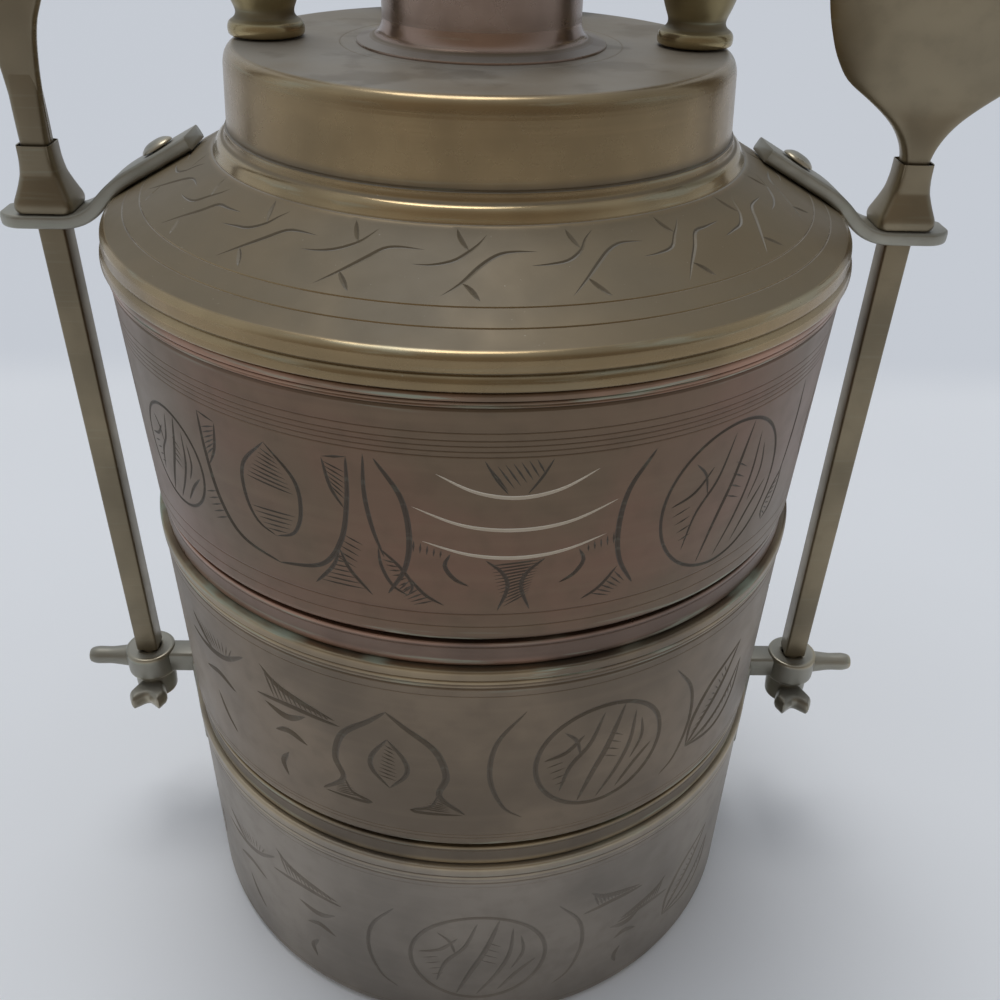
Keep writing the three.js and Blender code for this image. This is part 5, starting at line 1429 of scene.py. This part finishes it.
def handle_shells(v):
    """The square bar of a spoon or fork and its screwed end, whose thread is a ripple of 0.8 mm pitch."""
    half, screw = v.s.bar / 2, v.g.screw
    post = shell(bar(half, half, v.hub_top + v.b.seat, v.shank_z - 1 * MM, 0.6 * MM) + (v.bar_x, 0, 0), 0.25)
    low, high, half_pitch, thread = v.nut_foot - 2.6 * MM, v.hub_top + 3 * MM, 0.4 * MM, 0.25 * MM
    z = np.arange(low + 0.6 * MM, high, half_pitch)
    r = np.where(np.arange(len(z)) % 2, screw, screw - thread)
    ends = [(0, low), (screw - 0.5 * MM, low)], [(screw, high), (0, high)]
    end = spun(np.concatenate([ends[0], np.stack([r, z], 1), ends[1]]), 32, 1 * MM)
    end.worn[:] = 0.1
    return [post, moved(end, Matrix.Translation((v.bar_x, 0, 0)))]


class CARRIER_OT_spoon(bpy.types.Operator):
    """Builds the spoon: a dished oval bowl on a shank, and its long square bar"""
    bl_idname = "carrier.spoon"
    bl_label = "Spoon"

    def execute(self, context):
        v = sizes_of(context.scene)
        c, slot = v.c, "cutlery_brass"
        # The way up the head, and the shares of its half width, of the shank's thickness and of the
        # depth. Across it, from s = -1 to 1, the dish is a parabola and the edge thins by 1 - s^6.
        table = eased([
            (-0.03, 0.118, 1, 0), (0, 0.12, 1, 0), (0.046, 0.168, 0.95, 0), (0.099, 0.29, 0.75, 0),
            (0.126, 0.385, 0.55, 0.02), (0.153, 0.495, 0.4, 0.06), (0.2, 0.691, 0.2, 0.2),
            (0.247, 0.797, 0.1, 0.38), (0.321, 0.898, 0, 0.62), (0.391, 0.959, 0, 0.8),
            (0.476, 0.996, 0, 0.94), (0.57, 1, 0, 1), (0.677, 0.959, 0, 0.94), (0.785, 0.837, 0, 0.72),
            (0.879, 0.642, 0, 0.44), (0.946, 0.419, 0, 0.2), (0.987, 0.224, 0, 0.07), (1, 0.1, 0, 0.02)], 90)
        up, wide, shank, deep = (table[:, k:k + 1] for k in range(4))
        s = np.sin(np.linspace(-1, 1, 33) * np.pi / 2)
        edge = np.sqrt(np.maximum(1 - s ** 6, 0))
        half = (c.spoon_sheet + (c.shank - c.spoon_sheet) * np.clip(shank, 0, 1)) / 2
        dish = -c.spoon_depth * deep * (1 - s ** 2)
        x, z = v.bar_x + c.spoon_half * wide * s, v.shank_z + c.spoon_length * up + 0 * s
        front = np.stack([x, dish - half * edge, z], -1)
        back = np.stack([x, dish + half * edge, z], -1)[:, ::-1]
        ring = np.concatenate([front, back[:, 1:-1]], 1)
        ends = [np.broadcast_to(ring[k].mean(0), ring[:1].shape) for k in (0, -1)]
        head = shell(np.concatenate([ends[0], ring, ends[1]]))
        rim = np.abs(np.concatenate([s, s[::-1][1:-1]])) ** 8 * 0.5
        head.worn = np.tile(rim, len(ring) + 2)
        make_piece("spoon_whole", [head] + handle_shells(v), finish_of(slot), "spoon", ["spoon"])
        return {"FINISHED"}


class CARRIER_OT_fork(bpy.types.Operator):
    """Builds the fork: a bent four-tined head on a shank, and its long square bar"""
    bl_idname = "carrier.fork"
    bl_label = "Fork"

    def execute(self, context):
        v = sizes_of(context.scene)
        c, slot = v.c, "cutlery_brass"
        # The way up the head, and the share of its half width there
        side = eased([(-0.03, 0.24), (0, 0.245), (0.12, 0.275), (0.2, 0.32), (0.26, 0.38), (0.3, 0.45),
                      (0.325, 0.52), (0.38, 0.68), (0.44, 0.86), (0.5, 0.97), (0.55, 1)], 40)
        side = np.stack([c.fork_half * side[:, 1], c.fork_length * side[:, 0]], 1)
        tines, root, shoulder = 4, 0.57 * c.fork_length, 0.9 * c.fork_length
        wide = (c.fork_half * 2 - c.tine_gap * (tines - 1)) / tines
        tops = []
        for tine in range(tines - 1, -1, -1):
            left = -c.fork_half + tine * (wide + c.tine_gap)
            tops += [(left + wide, shoulder, 3 * MM), (left + wide / 2, c.fork_length, 0.5 * MM),
                     (left, shoulder, 3 * MM)]
            if tine:
                tops += [(left, root, 1.4 * MM), (left - c.tine_gap, root, 1.4 * MM)]
        tops = rounded([tuple(side[-1])] + tops + [(-side[-1, 0], side[-1, 1])], 4)
        outline = np.concatenate([side[:-1], tops, side[::-1][1:] * (-1, 1)])
        shells = padded_plate(outline, c.fork_sheet, 0.9 * MM, 1 * MM)
        for sheet in shells:  # stood up, and bent as a parabola
            x, up, y = sheet.points.T
            way = up / c.fork_length
            sheet.points = np.stack([v.bar_x + x, -y - c.fork_bend * (way ** 2 - way / 3), v.shank_z + up], 1)
        long = 18 * MM
        z = np.linspace(-2.2 * MM, long, 24)
        way, ends = np.clip(z / long, 0, 1), np.where((z > z[0]) & (z < z[-1]), 1, 0)
        stem = squared(c.fork_half * (0.24 + 0.04 * way) * ends, c.shank / 2 * (1 - 0.7 * way ** 1.5) * ends,
                       1.2 * MM, z)
        shells += [shell(stem + (v.bar_x, 0, v.shank_z), 0.25)] + handle_shells(v)
        shells = [moved(part, dict(SIDES)["left"]) for part in shells]
        make_piece("fork_whole", shells, finish_of(slot), "fork", ["fork"])
        return {"FINISHED"}


class CARRIER_OT_stage(bpy.types.Operator):
    """Builds the pale table, the soft light and the camera"""
    bl_idname = "carrier.stage"
    bl_label = "Stage"

    def execute(self, context):
        scene = context.scene
        t = scene.carrier_stage
        self.table(scene, t)
        self.room(scene, t)
        self.camera(scene, t)
        scene.view_settings.view_transform = "Standard"
        return {"FINISHED"}

    def table(self, scene, t):
        """Matt painted board: faint cloudy shifts of tone 167 mm across, no shine, and greyer at the back.
        The paler front is partly painted light against the carrier's shade on the near table.
        """
        half = 2.5
        mesh = bpy.data.meshes.new("table")
        mesh.from_pydata([(-half, -half, 0), (half, -half, 0), (half, half, 0), (-half, half, 0)], [],
                         [(0, 1, 2, 3)])
        material = bpy.data.materials.new("painted_board")
        material.use_nodes = True
        tree = material.node_tree
        tree.nodes.clear()
        add = partial(add_node, tree)
        place = add("TexCoord", out="Object")
        clouds = add("TexNoise", {"Vector": place, "Scale": 1 / (166.67 * MM), "Detail": 3.0})
        back = add("MapRange", [add("SeparateXYZ", [place], out="Y"), 0.25, 0.31], **EASED)
        darker, paler = [c * 0.97 for c in t.floor], [min(c * 1.03, 1) for c in t.floor]
        tone = add("Mix", {0: clouds, 6: darker, 7: paler}, **COLOURS)
        # The near table is paler than the board behind: partly painted light that evens out the carrier's
        # shade there
        tone = add("Mix", {0: back, 6: tone, 7: t.backdrop}, **COLOURS)
        add("OutputMaterial", {"Surface": add("BsdfPrincipled", {"Base Color": tone, "Roughness": 0.85})})
        mesh.materials.append(material)
        floor = bpy.data.objects.new("table", mesh)
        scene.collection.objects.link(floor)

    def room(self, scene, t):
        """A pale room, dimmer behind the camera and a little brighter at the left, and a ceiling light."""
        world = bpy.data.worlds.new("room")
        world.use_nodes = True
        tree = world.node_tree
        tree.nodes.clear()
        add = partial(add_node, tree)
        way = add("TexCoord", out="Generated")
        front = add("Math", [add("SeparateXYZ", [way], out="Y"), -1], **TIMES)
        front = add("MapRange", [front, 0.1, 0.8], **EASED)
        room = add("Mix", {0: front, 6: t.sky, 7: t.front}, **COLOURS)
        strength = add("Math", [add("SeparateXYZ", [way], out="X"), -0.14 * t.sky_strength, t.sky_strength],
                       **TIMES_PLUS)
        add("OutputWorld", {"Surface": add("Background", {"Color": room, "Strength": strength})})
        scene.world = world
        lamp = bpy.data.lights.new("ceiling_light", "SUN")
        lamp.energy, lamp.angle = t.lamp_strength, t.lamp_width
        holder = bpy.data.objects.new("ceiling_light", lamp)
        holder.rotation_euler = (-t.lamp_back, -t.lamp_side, 0)
        scene.collection.objects.link(holder)

    def camera(self, scene, t):
        """The camera in front of the axis, turned by its yaw, pitch and roll."""
        cos_p, sin_p = math.cos(t.pitch), math.sin(t.pitch)
        forward = Vector((math.sin(t.yaw) * cos_p, math.cos(t.yaw) * cos_p, -sin_p))
        right = Vector((math.cos(t.yaw), -math.sin(t.yaw), 0))
        down = forward.cross(right)
        across = right * math.cos(t.roll) + down * math.sin(t.roll)
        under = down * math.cos(t.roll) - right * math.sin(t.roll)
        turn = Matrix((across, -under, -forward)).transposed().to_4x4()
        data = bpy.data.cameras.new("camera")
        data.lens, data.sensor_width, data.clip_start = t.lens, 36, 0.01
        camera = bpy.data.objects.new("camera", data)
        camera.matrix_world = Matrix.Translation((0, -t.camera_back, t.camera_height)) @ turn
        scene.collection.objects.link(camera)
        scene.camera = camera


class CARRIER_PT_panel(bpy.types.Panel):
    """Lists the carrier's pieces and their sizes in the 3D view's sidebar"""
    bl_label = "Tiffin Carrier"
    bl_idname = "CARRIER_PT_panel"
    bl_space_type = "VIEW_3D"
    bl_region_type = "UI"
    bl_category = "Carrier"

    def draw(self, context):
        for operator in OPERATORS:
            self.layout.operator(operator.bl_idname)
        for name, group in GROUPS.items():
            box = self.layout.box()
            for key in group.__annotations__:
                box.prop(getattr(context.scene, name), key)


OPERATORS = (CARRIER_OT_stage, CARRIER_OT_bowls, CARRIER_OT_foot_rings, CARRIER_OT_lid, CARRIER_OT_pot,
             CARRIER_OT_posts, CARRIER_OT_bail, CARRIER_OT_straps, CARRIER_OT_lugs, CARRIER_OT_wing_nuts,
             CARRIER_OT_collars, CARRIER_OT_spoon, CARRIER_OT_fork)
GROUPS = {"carrier_bowls": BowlSizes, "carrier_lid": LidSizes, "carrier_pot": PotSizes,
          "carrier_bail": BailSizes, "carrier_straps": StrapSizes, "carrier_lugs": LugSizes,
          "carrier_cutlery": CutlerySizes, "carrier_finishes": Finishes, "carrier_stage": StageSettings}


def register():
    for made in (*GROUPS.values(), *OPERATORS, CARRIER_PT_panel):
        bpy.utils.register_class(made)
    for name, group in GROUPS.items():
        setattr(bpy.types.Scene, name, bpy.props.PointerProperty(type=group))


def unregister():
    for name in GROUPS:
        delattr(bpy.types.Scene, name)
    for made in (CARRIER_PT_panel, *OPERATORS[::-1], *GROUPS.values()):
        bpy.utils.unregister_class(made)


def main():
    register()
    bpy.ops.carrier.stage()
    bpy.ops.carrier.bowls()
    bpy.ops.carrier.foot_rings()
    bpy.ops.carrier.lid()
    bpy.ops.carrier.pot()
    bpy.ops.carrier.posts()
    bpy.ops.carrier.bail()
    bpy.ops.carrier.straps()
    bpy.ops.carrier.lugs()
    bpy.ops.carrier.wing_nuts()
    bpy.ops.carrier.collars()
    bpy.ops.carrier.spoon()
    bpy.ops.carrier.fork()


if __name__ == "__main__":
    main()
